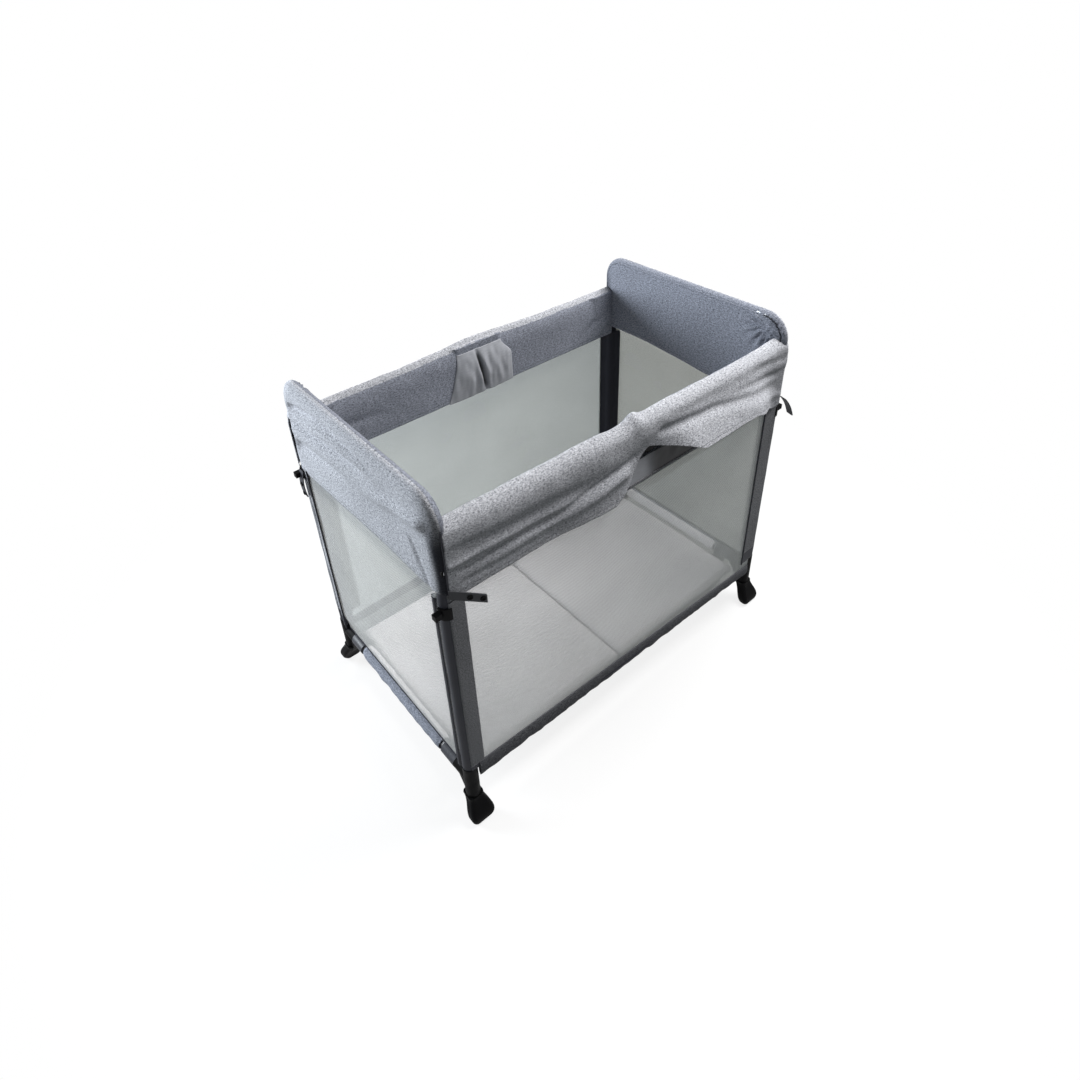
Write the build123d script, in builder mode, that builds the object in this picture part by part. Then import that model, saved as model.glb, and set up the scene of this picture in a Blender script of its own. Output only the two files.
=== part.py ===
from build123d import *
import os
from math import sqrt

# A folding travel cot with two rigid end frames, hinged side rails and a hinged base.
# Millimetres. X runs along the cot, Y across it and Z up from the floor; the origin is on the floor
# under the middle of the cot.

# Overall layout
overall_height = 860.0
leg_x = 461.0
leg_y = 264.0
cover_height = 225.0
bar_z = 120.0
rail_drop = 108.0

# End frame tubes
leg_radius = 10.0
bar_radius = 10.0
tube_wall = 1.2
hoop_bend = 48.0
leg_foot_z = 70.0
pin_radius = 3.0

# Clearances
press_gap = 0.05
running_gap = 0.06
soft_gap = 0.3
pivot_gap = 0.4

# Feet
foot_socket_radius = 16.0
foot_socket_top = 158.0
foot_splay = 24.0
foot_sole_width = 40.0
foot_sole_depth = 20.0
foot_lobe_width = 56.0
foot_lobe_depth = 28.0
foot_lobe_z = 14.0
foot_shin_width = 46.0
foot_shin_depth = 29.0
foot_shin_z = 40.0
foot_shin_splay = 13.0
foot_neck_width = 36.0
foot_neck_depth = 35.0
foot_corner = 9.0
foot_boss_radius = 15.0
foot_boss_length = 44.0
foot_arm_width = 16.0
foot_floor = 6.0
foot_arm_depth = 15.0

# Knuckles on the bottom bar
knuckle_radius = 15.5
collar_length = 19.7
pivot_length = 25.7
bare_bar_length = 8.0

# Soft covers
sleeve_thickness = 4.4
sleeve_overlap = 8.0
bar_sleeve_thickness = 4.2
cover_wall = 1.5
mesh_thickness = 1.2
mesh_tuck = 25.0
slit_apex_x = 20.0
slit_height = 100.0
slit_left_x = -85.0
slit_right_x = 190.0
side_hem_height = 32.0
side_hem_thickness = 4.0
side_hem_low = 118.0

# Closing straps and their press studs
strap_length = 80.0
strap_width = 20.0
strap_thickness = 1.8
strap_hang = 62.0
hook_thickness = 3.2
hook_height = 26.0
hook_drop = 3.0
hook_reach = 14.0
hook_width = 12.0
stud_radius = 5.0
stud_height = 1.8
stud_spacing = 36.0
stud_inset = 14.0

# Side rails
rail_radius = 10.0
ear_thickness = 3.5
ear_radius = 9.0
fork_reach = 30.0
fork_length = 40.0
rail_socket_wall = 3.4
rail_block_half = 12.5
hinge_ear_half = 8.5
hinge_rise = 6.0
hinge_radius = 6.5
hinge_setback = 14.0
hinge_block_length = 44.0
hinge_tongue_half = 4.0
hinge_side_gap = 0.2
rivet_head_radius = 5.5
rivet_head_height = 1.2

# Release button under each rail hinge
lug_start = 18.0
lug_length = 34.0
lug_half = 10.0
lug_drop = 22.5
chamber_wall = 2.0
chamber_length = 22.0
lip_height = 3.0
lip_width = 2.0
button_drop = 7.0
button_gap = 0.2
flange_height = 3.8
button_travel = 5.0
spring_radius = 5.0
spring_wall = 1.0

# Hinged base and mattress
base_tube_radius = 7.0
base_tube_z = 77.0
base_socket_half = 10.0
base_arm_reach = 24.0
base_socket_length = 44.0
board_thickness = 5.0
board_half_width = 240.0
board_gap = 2.0
mattress_half_width = 243.0
mattress_edge = 17.0
mattress_crown = 22.5
mattress_draw_in = 5.0
mattress_end_gap = 3.0
mattress_crease_gap = 4.0

# Worked-out places
hem_z = overall_height - cover_height
rail_z = overall_height - rail_drop
slit_apex_z = hem_z + slit_height
hoop_z = overall_height - cover_wall - soft_gap - leg_radius
ear_inner = leg_radius + pivot_gap
ear_outer = ear_inner + ear_thickness
rivet_reach = ear_outer + press_gap + rivet_head_height
cover_room = rivet_reach + soft_gap
cover_reach = cover_room + cover_wall
cover_corner = cover_room - hinge_ear_half
sleeve_radius = leg_radius + soft_gap + sleeve_thickness
bar_sleeve_radius = bar_radius + soft_gap + bar_sleeve_thickness
mesh_outer = cover_room - soft_gap
mesh_inner = mesh_outer - mesh_thickness
rail_socket_radius = rail_radius + rail_socket_wall
base_hinge_z = base_tube_z - base_tube_radius - hinge_rise
pivot_drop = bar_z - base_hinge_z
rail_hinge_z = rail_z + rail_radius + hinge_rise
rail_pivot_z = rail_hinge_z - pivot_drop
rail_cover_top = rail_hinge_z + hinge_radius + soft_gap + cover_wall
collar_start = leg_y - foot_boss_length - soft_gap
pivot_start = collar_start - collar_length - soft_gap
base_tube_y = pivot_start - pivot_length / 2
bar_sleeve_half = pivot_start - pivot_length - bare_bar_length
bar_end = leg_y - leg_radius - 1
board_low = base_tube_z + base_tube_radius + press_gap
mattress_low = board_low + board_thickness + soft_gap

LEFT = -1
RIGHT = 1
FRONT = -1
BACK = 1
SIDES = {"left": LEFT, "right": RIGHT}
FACES = {"front": FRONT, "back": BACK}


def across(y):
    """Plane square to Y at this y: its x is X and its y is Z."""
    return Plane.XZ.offset(-y)


def along(x):
    """Plane square to X at this x: its x is Y and its y is Z."""
    return Plane.YZ.offset(x)


def level(z):
    """Plane square to Z at this z."""
    return Plane.XY.offset(z)


def half_chord(radius, offset):
    """Half the width of a circle at this offset from its centre, or nothing outside it."""
    return sqrt(max(radius**2 - offset**2, 0.0))


def keep(builder, name):
    """Label a finished piece and write it to its own file."""
    builder.part.label = name
    export_step(builder.part, f"parts/{name}.step")


def make_hoop(name, side):
    """Bent tube: two legs and a top bow with rounded corners, drilled for the rail rivets."""
    x = side * leg_x
    with BuildPart() as hoop:
        with BuildLine(along(x)) as path:
            FilletPolyline(
                (-leg_y, leg_foot_z),
                (-leg_y, hoop_z),
                (leg_y, hoop_z),
                (leg_y, leg_foot_z),
                radius=hoop_bend,
            )
        with BuildSketch(level(leg_foot_z)):
            with Locations((x, -leg_y)):
                Circle(leg_radius)
                Circle(leg_radius - tube_wall, mode=Mode.SUBTRACT)
        sweep(path=path.wires()[0])
        with BuildSketch(across(0)):
            with Locations((x, rail_pivot_z)):
                Circle(pin_radius + press_gap)
        extrude(amount=leg_y + leg_radius, both=True, mode=Mode.SUBTRACT)
    keep(hoop, f"{name}_hoop")


def make_bottom_bar(name, side):
    """Straight tube between the two feet of one end; the base turns on it."""
    with BuildPart() as bar:
        with BuildSketch(across(0)):
            with Locations((side * leg_x, bar_z)):
                Circle(bar_radius)
                Circle(bar_radius - tube_wall, mode=Mode.SUBTRACT)
        extrude(amount=bar_end, both=True)
    keep(bar, f"{name}_bottom_bar")


def make_foot(name, side, face):
    """Moulded foot: leg socket, bar socket, splayed paddle and an arm that leaves a window."""
    x = side * leg_x
    y = face * leg_y
    stations = [
        (0.0, foot_splay, foot_sole_width, foot_sole_depth),
        (foot_lobe_z, foot_splay, foot_lobe_width, foot_lobe_depth),
        (foot_shin_z, foot_shin_splay, foot_shin_width, foot_shin_depth),
        (leg_foot_z - foot_floor, 0.0, foot_neck_width, foot_neck_depth),
    ]
    arm_top = bar_z - foot_boss_radius / 2
    arm_bend = bar_z - foot_boss_radius
    arm_inner = -foot_boss_length + 1
    with BuildPart() as foot:
        for z, out, width, depth in stations:
            with BuildSketch(level(z)):
                with Locations((x, y + face * out)):
                    RectangleRounded(width, depth, foot_corner)
        loft()
        with BuildSketch(level(leg_foot_z - foot_floor)):
            with Locations((x, y)):
                Circle(foot_socket_radius)
        extrude(amount=foot_socket_top - leg_foot_z + foot_floor)
        with BuildSketch(across(y - face * foot_boss_length)):
            with Locations((x, bar_z)):
                Circle(foot_boss_radius)
        extrude(amount=-face * foot_boss_length)
        with BuildSketch(along(x - foot_arm_width / 2)):
            with BuildLine():
                Polyline(
                    (y + face * arm_inner, arm_top),
                    (y + face * arm_inner, arm_bend),
                    (y + face * foot_shin_splay, foot_lobe_z),
                    (y + face * (foot_shin_splay + foot_arm_depth), foot_lobe_z),
                    (y + face * (arm_inner + foot_arm_depth), arm_bend),
                    (y + face * (arm_inner + foot_arm_depth), arm_top),
                    close=True,
                )
            make_face()
        extrude(amount=foot_arm_width)
        with BuildSketch(level(leg_foot_z)):
            with Locations((x, y)):
                Circle(leg_radius + press_gap)
        extrude(amount=foot_socket_top, mode=Mode.SUBTRACT)
        with BuildSketch(across(face * bar_end)):
            with Locations((x, bar_z)):
                Circle(bar_radius + press_gap)
        extrude(amount=face * foot_boss_length, mode=Mode.SUBTRACT)
    keep(foot, f"{name}_foot")


def make_bar_collars(name, side):
    """Two plain plastic rings that hold the base pivots clear of the feet."""
    with BuildPart() as collars:
        for face in FACES.values():
            with BuildSketch(across(face * collar_start)):
                with Locations((side * leg_x, bar_z)):
                    Circle(knuckle_radius)
                    Circle(bar_radius + press_gap, mode=Mode.SUBTRACT)
            extrude(amount=face * collar_length)
    keep(collars, f"{name}_bar_collars")


def make_frame_sleeves(name, side):
    """Three padded fabric tubes: one round each leg and one round the bottom bar."""
    with BuildPart() as sleeves:
        for face in FACES.values():
            with BuildSketch(level(foot_socket_top)):
                with Locations((side * leg_x, face * leg_y)):
                    Circle(sleeve_radius)
                    Circle(leg_radius + soft_gap, mode=Mode.SUBTRACT)
            extrude(amount=hem_z + sleeve_overlap - foot_socket_top)
        with BuildSketch(across(0)):
            with Locations((side * leg_x, bar_z)):
                Circle(bar_sleeve_radius)
                Circle(bar_radius + soft_gap, mode=Mode.SUBTRACT)
        extrude(amount=bar_sleeve_half, both=True)
    keep(sleeves, f"{name}_frame_sleeves")


def make_end_cover(name, side):
    """Fabric pocket pulled over the hoop; open below and where the rails come in."""
    x = side * leg_x
    corner = hoop_bend + leg_radius + soft_gap
    with BuildPart() as cover:
        with BuildSketch(along(x - cover_reach)) as outline:
            with Locations((0, (overall_height + hem_z) / 2)):
                Rectangle(2 * (leg_y + cover_reach), overall_height - hem_z)
            fillet(outline.vertices().group_by(Axis.Y)[-1], corner + cover_wall)
        extrude(amount=2 * cover_reach)
        with BuildSketch(along(x - cover_room)) as pocket:
            with Locations((0, (overall_height - cover_wall) / 2)):
                Rectangle(2 * (leg_y + cover_room), overall_height - cover_wall)
            fillet(pocket.vertices().group_by(Axis.Y)[-1], corner)
        extrude(amount=2 * cover_room, mode=Mode.SUBTRACT)
        for face in FACES.values():
            with BuildSketch(along(x)):
                with Locations((face * leg_y, (rail_cover_top + soft_gap) / 2)):
                    Rectangle(2 * cover_room, rail_cover_top + soft_gap)
            extrude(amount=-side * cover_reach, mode=Mode.SUBTRACT)
    keep(cover, f"{name}_end_cover")


def make_end_mesh(name, side):
    """Net wall of one end, from the bottom bar up into the cover."""
    low = bar_z + half_chord(knuckle_radius, mesh_inner) + soft_gap
    high = hem_z + mesh_tuck
    half = leg_y - half_chord(foot_socket_radius, mesh_inner) - soft_gap
    with BuildPart() as mesh:
        with BuildSketch(along(side * (leg_x + mesh_inner))):
            with Locations((0, (low + high) / 2)):
                Rectangle(2 * half, high - low)
        extrude(amount=side * mesh_thickness)
    keep(mesh, f"{name}_end_mesh")


def make_rail_rivets(name, side):
    """Headed pins through the legs, on which the side rails turn."""
    x = side * leg_x
    with BuildPart() as rivets:
        for face in FACES.values():
            y = face * leg_y
            with BuildSketch(across(y)):
                with Locations((x, rail_pivot_z)):
                    Circle(pin_radius)
            extrude(amount=ear_outer + press_gap, both=True)
            for outside in (-1, 1):
                with BuildSketch(across(y + outside * (ear_outer + press_gap))):
                    with Locations((x, rail_pivot_z)):
                        Circle(rivet_head_radius)
                extrude(amount=-outside * rivet_head_height)
    keep(rivets, f"{name}_rail_rivets")


def make_leg_hooks(name, side):
    """Quarter clips on the outer corner of each leg, with a peg for the closing strap."""
    low = hem_z - hook_drop - hook_height
    radius = sleeve_radius + soft_gap
    with BuildPart() as hooks:
        for face in FACES.values():
            x = side * leg_x
            y = face * leg_y
            with BuildSketch(level(low)):
                with Locations((x, y)):
                    Circle(radius + hook_thickness)
                    Circle(radius, mode=Mode.SUBTRACT)
                with Locations((x + side * leg_radius, y + face * leg_radius)):
                    Rectangle(2 * leg_radius, 2 * leg_radius, mode=Mode.INTERSECT)
            extrude(amount=hook_height)
            with BuildSketch(along(x + side * (radius + hook_thickness / 2))):
                with Locations((y + face * hook_width / 2, low + hook_height / 2)):
                    Rectangle(hook_width, hook_width)
            extrude(amount=side * hook_reach)
    keep(hooks, f"{name}_leg_hooks")


def make_straps(name, side):
    """Closing straps: one lies along the side of the cot, the other hangs from its hook."""
    high = hem_z - hook_drop
    with BuildPart() as straps:
        for face in FACES.values():
            x = side * leg_x
            y = face * (leg_y + cover_reach + soft_gap)
            if side == face:
                with BuildSketch(across(y)):
                    with Locations((x - side * strap_length / 2, high - strap_width / 2)):
                        Rectangle(strap_length, strap_width)
                extrude(amount=-face * strap_thickness)
            else:
                reach = sleeve_radius + soft_gap + hook_thickness / 2 + hook_reach + soft_gap
                with BuildSketch(along(x + side * reach)):
                    with Locations((face * leg_y + face * hook_width / 2, high - strap_hang / 2)):
                        Rectangle(strap_width, strap_hang)
                extrude(amount=side * strap_thickness)
    keep(straps, f"{name}_closing_straps")


def make_studs(name, side):
    """Two press studs on each closing strap."""
    high = hem_z - hook_drop
    with BuildPart() as studs:
        for face in FACES.values():
            x = side * leg_x
            if side == face:
                y = face * (leg_y + cover_reach + soft_gap + strap_thickness)
                with BuildSketch(across(y)):
                    for step in (0, 1):
                        far = strap_length - stud_inset - step * stud_spacing
                        with Locations((x - side * far, high - strap_width / 2)):
                            Circle(stud_radius)
                extrude(amount=-face * stud_height)
            else:
                reach = sleeve_radius + soft_gap + hook_thickness / 2 + hook_reach
                reach = reach + soft_gap + strap_thickness
                with BuildSketch(along(x + side * reach)):
                    for step in (0, 1):
                        low = high - strap_hang + stud_inset + step * stud_spacing
                        with Locations((face * leg_y + face * hook_width / 2, low)):
                            Circle(stud_radius)
                extrude(amount=side * stud_height)
    keep(studs, f"{name}_strap_studs")


def make_side_mesh(name, face):
    """Net wall of one long side, from the bottom hem up into the rail cover."""
    low = side_hem_low + side_hem_height + soft_gap
    high = hem_z + mesh_tuck
    half = leg_x - half_chord(foot_socket_radius, mesh_inner) - soft_gap
    with BuildPart() as mesh:
        with BuildSketch(across(face * (leg_y + mesh_inner))):
            with Locations((0, (low + high) / 2)):
                Rectangle(2 * half, high - low)
        extrude(amount=-face * mesh_thickness)
    keep(mesh, f"{name}_mesh")


def make_rail_cover(name, face):
    """Fabric channel over one side rail, with a slit in its outer wall at the hinge."""
    half = leg_x - cover_reach - soft_gap
    height = rail_cover_top - hem_z
    y = face * leg_y
    with BuildPart() as cover:
        with BuildSketch(along(-half)) as outline:
            with Locations((y, hem_z + height / 2)):
                Rectangle(2 * cover_reach, height)
            fillet(outline.vertices().group_by(Axis.Y)[-1], cover_corner + cover_wall)
        extrude(amount=2 * half)
        with BuildSketch(along(-half)) as room:
            with Locations((y, hem_z + (height - cover_wall) / 2)):
                Rectangle(2 * cover_room, height - cover_wall)
            fillet(room.vertices().group_by(Axis.Y)[-1], cover_corner)
        extrude(amount=2 * half, mode=Mode.SUBTRACT)
        with BuildSketch(across(y)):
            with BuildLine():
                Polyline(
                    (slit_left_x, hem_z - 1),
                    (slit_apex_x, slit_apex_z),
                    (slit_right_x, hem_z - 1),
                    close=True,
                )
            make_face()
        extrude(amount=-face * cover_reach, mode=Mode.SUBTRACT)
    keep(cover, f"{name}_rail_cover")


def make_side_hem(name, face):
    """Thick sewn hem along the bottom of one side wall."""
    middle = (mesh_inner + mesh_outer) / 2
    nearest = middle - side_hem_thickness / 2
    half = leg_x - half_chord(foot_socket_radius, nearest) - soft_gap
    with BuildPart() as hem:
        with BuildSketch(across(face * (leg_y + nearest))):
            with Locations((0, side_hem_low + side_hem_height / 2)):
                Rectangle(2 * half, side_hem_height)
        extrude(amount=-face * side_hem_thickness)
    keep(hem, f"{name}_bottom_hem")


def make_base_tubes(name, side):
    """Two straight tubes under one half of the base."""
    start = leg_x - base_arm_reach
    stop = hinge_setback + hinge_radius
    with BuildPart() as tubes:
        for face in FACES.values():
            with BuildSketch(along(side * stop)):
                with Locations((face * base_tube_y, base_tube_z)):
                    Circle(base_tube_radius)
                    Circle(base_tube_radius - tube_wall, mode=Mode.SUBTRACT)
            extrude(amount=side * (start - stop))
    keep(tubes, f"base_{name}_tubes")


def make_base_pivots(name, side):
    """Two moulded knuckles that turn on the bottom bar and hold the ends of the base tubes."""
    x = side * leg_x
    near = x - side * base_arm_reach
    far = near - side * base_socket_length
    with BuildPart() as pivots:
        for face in FACES.values():
            with BuildSketch(across(face * pivot_start)):
                with Locations((x, bar_z)):
                    Circle(knuckle_radius)
                with Locations((near + side * base_socket_half / 2, base_tube_z)):
                    Rectangle(base_socket_half, 2 * base_socket_half)
                make_hull()
            extrude(amount=face * pivot_length)
            with BuildSketch(along(near)):
                with Locations((face * base_tube_y, base_tube_z)):
                    RectangleRounded(pivot_length, 2 * base_socket_half, base_socket_half / 2)
            extrude(amount=-side * base_socket_length)
        with BuildSketch(across(0)):
            with Locations((x, bar_z)):
                Circle(bar_radius + running_gap)
        extrude(amount=leg_y, both=True, mode=Mode.SUBTRACT)
        for face in FACES.values():
            with BuildSketch(along(near)):
                with Locations((face * base_tube_y, base_tube_z)):
                    Circle(base_tube_radius + press_gap)
            extrude(amount=far - near, mode=Mode.SUBTRACT)
    keep(pivots, f"base_{name}_pivots")


def make_base_hinges(name, side):
    """Centre hinge leaves of the base: forks on the left half, tongues on the right half."""
    near = side * hinge_setback
    with BuildPart() as leaves:
        for face in FACES.values():
            y = face * base_tube_y
            with BuildSketch(along(near)):
                with Locations((y, base_tube_z)):
                    RectangleRounded(2 * base_socket_half, 2 * base_socket_half, base_socket_half / 3)
            extrude(amount=side * hinge_block_length)
            half = base_socket_half if side == LEFT else hinge_tongue_half
            with BuildSketch(across(y)):
                with Locations((0, base_hinge_z)):
                    Circle(hinge_radius)
                with Locations((side * (hinge_setback + hinge_radius / 2), base_tube_z)):
                    Rectangle(hinge_radius, base_socket_half)
                make_hull()
            extrude(amount=half, both=True)
            if side == LEFT:
                slot_half = hinge_tongue_half + hinge_side_gap
                with BuildSketch(level(base_hinge_z - hinge_radius)):
                    with Locations(((near + hinge_radius) / 2, y)):
                        Rectangle(hinge_setback + hinge_radius, 2 * slot_half)
                extrude(amount=4 * base_socket_half, mode=Mode.SUBTRACT)
            with BuildSketch(along(side * (hinge_setback + hinge_radius))):
                with Locations((y, base_tube_z)):
                    Circle(base_tube_radius + press_gap)
            extrude(amount=side * hinge_block_length, mode=Mode.SUBTRACT)
        with BuildSketch(across(0)):
            with Locations((0, base_hinge_z)):
                Circle(pin_radius + running_gap)
        extrude(amount=leg_y, both=True, mode=Mode.SUBTRACT)
    keep(leaves, f"base_{name}_hinges")


def make_base_hinge_pins():
    """Pins of the two centre hinges under the mattress."""
    with BuildPart() as pins:
        for face in FACES.values():
            with BuildSketch(across(face * base_tube_y)):
                with Locations((0, base_hinge_z)):
                    Circle(pin_radius)
            extrude(amount=base_socket_half, both=True)
    keep(pins, "base_hinge_pins")


def make_base_board(name, side):
    """Stiff board on the tubes under one half of the mattress."""
    outer = leg_x - base_arm_reach - base_socket_length - board_gap
    inner = hinge_setback + hinge_block_length + board_gap
    with BuildPart() as board:
        with BuildSketch(level(board_low)):
            with Locations((side * (outer + inner) / 2, 0)):
                Rectangle(outer - inner, 2 * board_half_width)
        extrude(amount=board_thickness)
    keep(board, f"base_{name}_board")


def make_mattress_half(name, side):
    """Thin quilted pad, crowned in the middle and drawn in along its sides."""
    outer = leg_x - base_arm_reach - mattress_end_gap
    inner = mattress_crease_gap / 2
    middle = (outer + inner) / 2
    stations = [
        (inner, 0.0, 0.0),
        (middle, mattress_draw_in, 1.0),
        (outer, 0.0, 0.0),
    ]
    with BuildPart() as pad:
        for x, drawn, swell in stations:
            half = mattress_half_width - drawn
            edge = mattress_low + mattress_edge * (0.8 + 0.1 * swell)
            crown = mattress_low + mattress_edge + (mattress_crown - mattress_edge) * swell
            with BuildSketch(along(side * x)):
                with BuildLine():
                    Polyline((-half, edge), (-half, mattress_low), (half, mattress_low), (half, edge))
                    ThreePointArc((half, edge), (0, crown), (-half, edge))
                make_face()
        loft()
    keep(pad, f"base_{name}_mattress")


def make_rail_tube(name, side, face):
    """Straight tube of one half of a side rail."""
    start = leg_x - fork_reach - rail_socket_wall
    stop = hinge_setback + hinge_radius
    with BuildPart() as tube:
        with BuildSketch(along(side * stop)):
            with Locations((face * leg_y, rail_z)):
                Circle(rail_radius)
                Circle(rail_radius - tube_wall, mode=Mode.SUBTRACT)
        extrude(amount=side * (start - stop))
    keep(tube, f"{name}_tube")


def make_rail_fork(name, side, face):
    """End fitting of a rail half: a socket on the tube and two ears that straddle the leg."""
    x = side * leg_x
    y = face * leg_y
    near = x - side * fork_reach
    seat = near - side * rail_socket_wall
    with BuildPart() as fork:
        with BuildSketch(along(near)):
            with Locations((y, rail_z)):
                Circle(rail_socket_radius)
        extrude(amount=-side * fork_length)
        for outside in (-1, 1):
            with BuildSketch(across(y + outside * ear_inner)):
                with Locations((x, rail_pivot_z)):
                    Circle(ear_radius)
                with Locations((near - side * ear_radius / 2, rail_z - rail_radius / 2)):
                    Rectangle(ear_radius, rail_radius)
                make_hull()
                with Locations((x, rail_pivot_z)):
                    Circle(pin_radius + running_gap, mode=Mode.SUBTRACT)
            extrude(amount=-outside * ear_thickness)
        with BuildSketch(across(y)):
            with Locations((near - side * ear_radius / 2, rail_z - rail_radius / 2)):
                Rectangle(ear_radius, rail_radius)
        extrude(amount=ear_outer, both=True)
        with BuildSketch(along(seat)):
            with Locations((y, rail_z)):
                Circle(rail_radius + press_gap)
        extrude(amount=-side * fork_length, mode=Mode.SUBTRACT)
    keep(fork, f"{name}_fork")


def make_rail_hinge(name, side, face):
    """Centre hinge leaf of a rail half: a fork on the left, a tongue with a button lug on the right."""
    y = face * leg_y
    near = side * hinge_setback
    half = hinge_ear_half if side == LEFT else hinge_tongue_half
    lug_top = rail_z - rail_socket_radius + 1
    lug_low = rail_z - rail_socket_radius - lug_drop
    lug_x = lug_start + lug_length / 2
    with BuildPart() as leaf:
        with BuildSketch(along(near)):
            with Locations((y, rail_z)):
                RectangleRounded(2 * rail_block_half, 2 * rail_socket_radius, rail_block_half / 3)
        extrude(amount=side * hinge_block_length)
        with BuildSketch(across(y)):
            with Locations((0, rail_hinge_z)):
                Circle(hinge_radius)
            with Locations((side * (hinge_setback + hinge_radius / 2), rail_z + rail_radius / 2)):
                Rectangle(hinge_radius, rail_radius)
            make_hull()
        extrude(amount=half, both=True)
        if side == LEFT:
            slot_half = hinge_tongue_half + hinge_side_gap
            with BuildSketch(level(rail_z)):
                with Locations(((near + hinge_radius) / 2, y)):
                    Rectangle(hinge_setback + hinge_radius, 2 * slot_half)
            extrude(amount=rail_cover_top - rail_z, mode=Mode.SUBTRACT)
        else:
            with BuildSketch(level(lug_low)):
                with Locations((lug_x, y)):
                    Rectangle(lug_length, 2 * lug_half)
            extrude(amount=lug_top - lug_low)
            with BuildSketch(level(lug_low)):
                with Locations((lug_x, y)):
                    Rectangle(chamber_length - 2 * lip_width, 2 * (lug_half - chamber_wall - lip_width))
            extrude(amount=lip_height, mode=Mode.SUBTRACT)
            with BuildSketch(level(lug_low + lip_height)):
                with Locations((lug_x, y)):
                    Rectangle(chamber_length, 2 * (lug_half - chamber_wall))
            extrude(amount=lug_drop - lip_height - chamber_wall, mode=Mode.SUBTRACT)
        with BuildSketch(along(side * (hinge_setback + hinge_radius))):
            with Locations((y, rail_z)):
                Circle(rail_radius + press_gap)
        extrude(amount=side * hinge_block_length, mode=Mode.SUBTRACT)
        with BuildSketch(across(y)):
            with Locations((0, rail_hinge_z)):
                Circle(pin_radius + running_gap)
        extrude(amount=rail_block_half + 1, both=True, mode=Mode.SUBTRACT)
    keep(leaf, f"{name}_hinge")


def make_rail_hinge_pin(name, face):
    """Pin of one rail's centre hinge."""
    with BuildPart() as pin:
        with BuildSketch(across(face * leg_y)):
            with Locations((0, rail_hinge_z)):
                Circle(pin_radius)
        extrude(amount=hinge_ear_half, both=True)
    keep(pin, f"{name}_rail_hinge_pin")


def make_release_button(name, face):
    """Push button with a retaining flange, and the coil spring above it as a plain tube."""
    y = face * leg_y
    lug_low = rail_z - rail_socket_radius - lug_drop
    lug_x = lug_start + lug_length / 2
    stem_length = chamber_length - 2 * (lip_width + button_gap)
    stem_half = lug_half - chamber_wall - lip_width - button_gap
    flange_low = lug_low + lip_height + button_gap
    spring_low = flange_low + flange_height
    spring_high = lug_low + lug_drop - chamber_wall
    with BuildPart() as button:
        with BuildSketch(level(lug_low - button_drop)):
            with Locations((lug_x, y)):
                RectangleRounded(stem_length, 2 * stem_half, stem_half / 2)
        extrude(amount=flange_low + button_drop - lug_low)
        with BuildSketch(level(flange_low)):
            with Locations((lug_x, y)):
                Rectangle(chamber_length - 2 * button_gap, 2 * (lug_half - chamber_wall - button_gap))
        extrude(amount=flange_height)
    keep(button, f"{name}_release_button")
    with BuildPart() as spring:
        with BuildSketch(level(spring_low)):
            with Locations((lug_x, y)):
                Circle(spring_radius)
                Circle(spring_radius - spring_wall, mode=Mode.SUBTRACT)
        extrude(amount=spring_high - spring_low)
    keep(spring, f"{name}_button_spring")


os.makedirs("parts", exist_ok=True)

for side_name, side_sign in SIDES.items():
    make_hoop(side_name, side_sign)
    make_bottom_bar(side_name, side_sign)
    for face_name, face_sign in FACES.items():
        make_foot(f"{side_name}_{face_name}", side_sign, face_sign)
    make_bar_collars(side_name, side_sign)
    make_frame_sleeves(side_name, side_sign)
    make_end_cover(side_name, side_sign)
    make_end_mesh(side_name, side_sign)
    make_rail_rivets(side_name, side_sign)
    make_leg_hooks(side_name, side_sign)
    make_straps(side_name, side_sign)
    make_studs(side_name, side_sign)
    make_base_tubes(side_name, side_sign)
    make_base_pivots(side_name, side_sign)
    make_base_hinges(side_name, side_sign)
    make_base_board(side_name, side_sign)
    make_mattress_half(side_name, side_sign)
    for face_name, face_sign in FACES.items():
        rail_name = f"{face_name}_rail_{side_name}"
        make_rail_tube(rail_name, side_sign, face_sign)
        make_rail_fork(rail_name, side_sign, face_sign)
        make_rail_hinge(rail_name, side_sign, face_sign)

for face_name, face_sign in FACES.items():
    make_side_mesh(face_name, face_sign)
    make_rail_cover(face_name, face_sign)
    make_side_hem(face_name, face_sign)
    make_rail_hinge_pin(face_name, face_sign)
    make_release_button(face_name, face_sign)

make_base_hinge_pins()
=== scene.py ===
import math

import bmesh
import bpy
from mathutils import Matrix, Vector, noise


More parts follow.
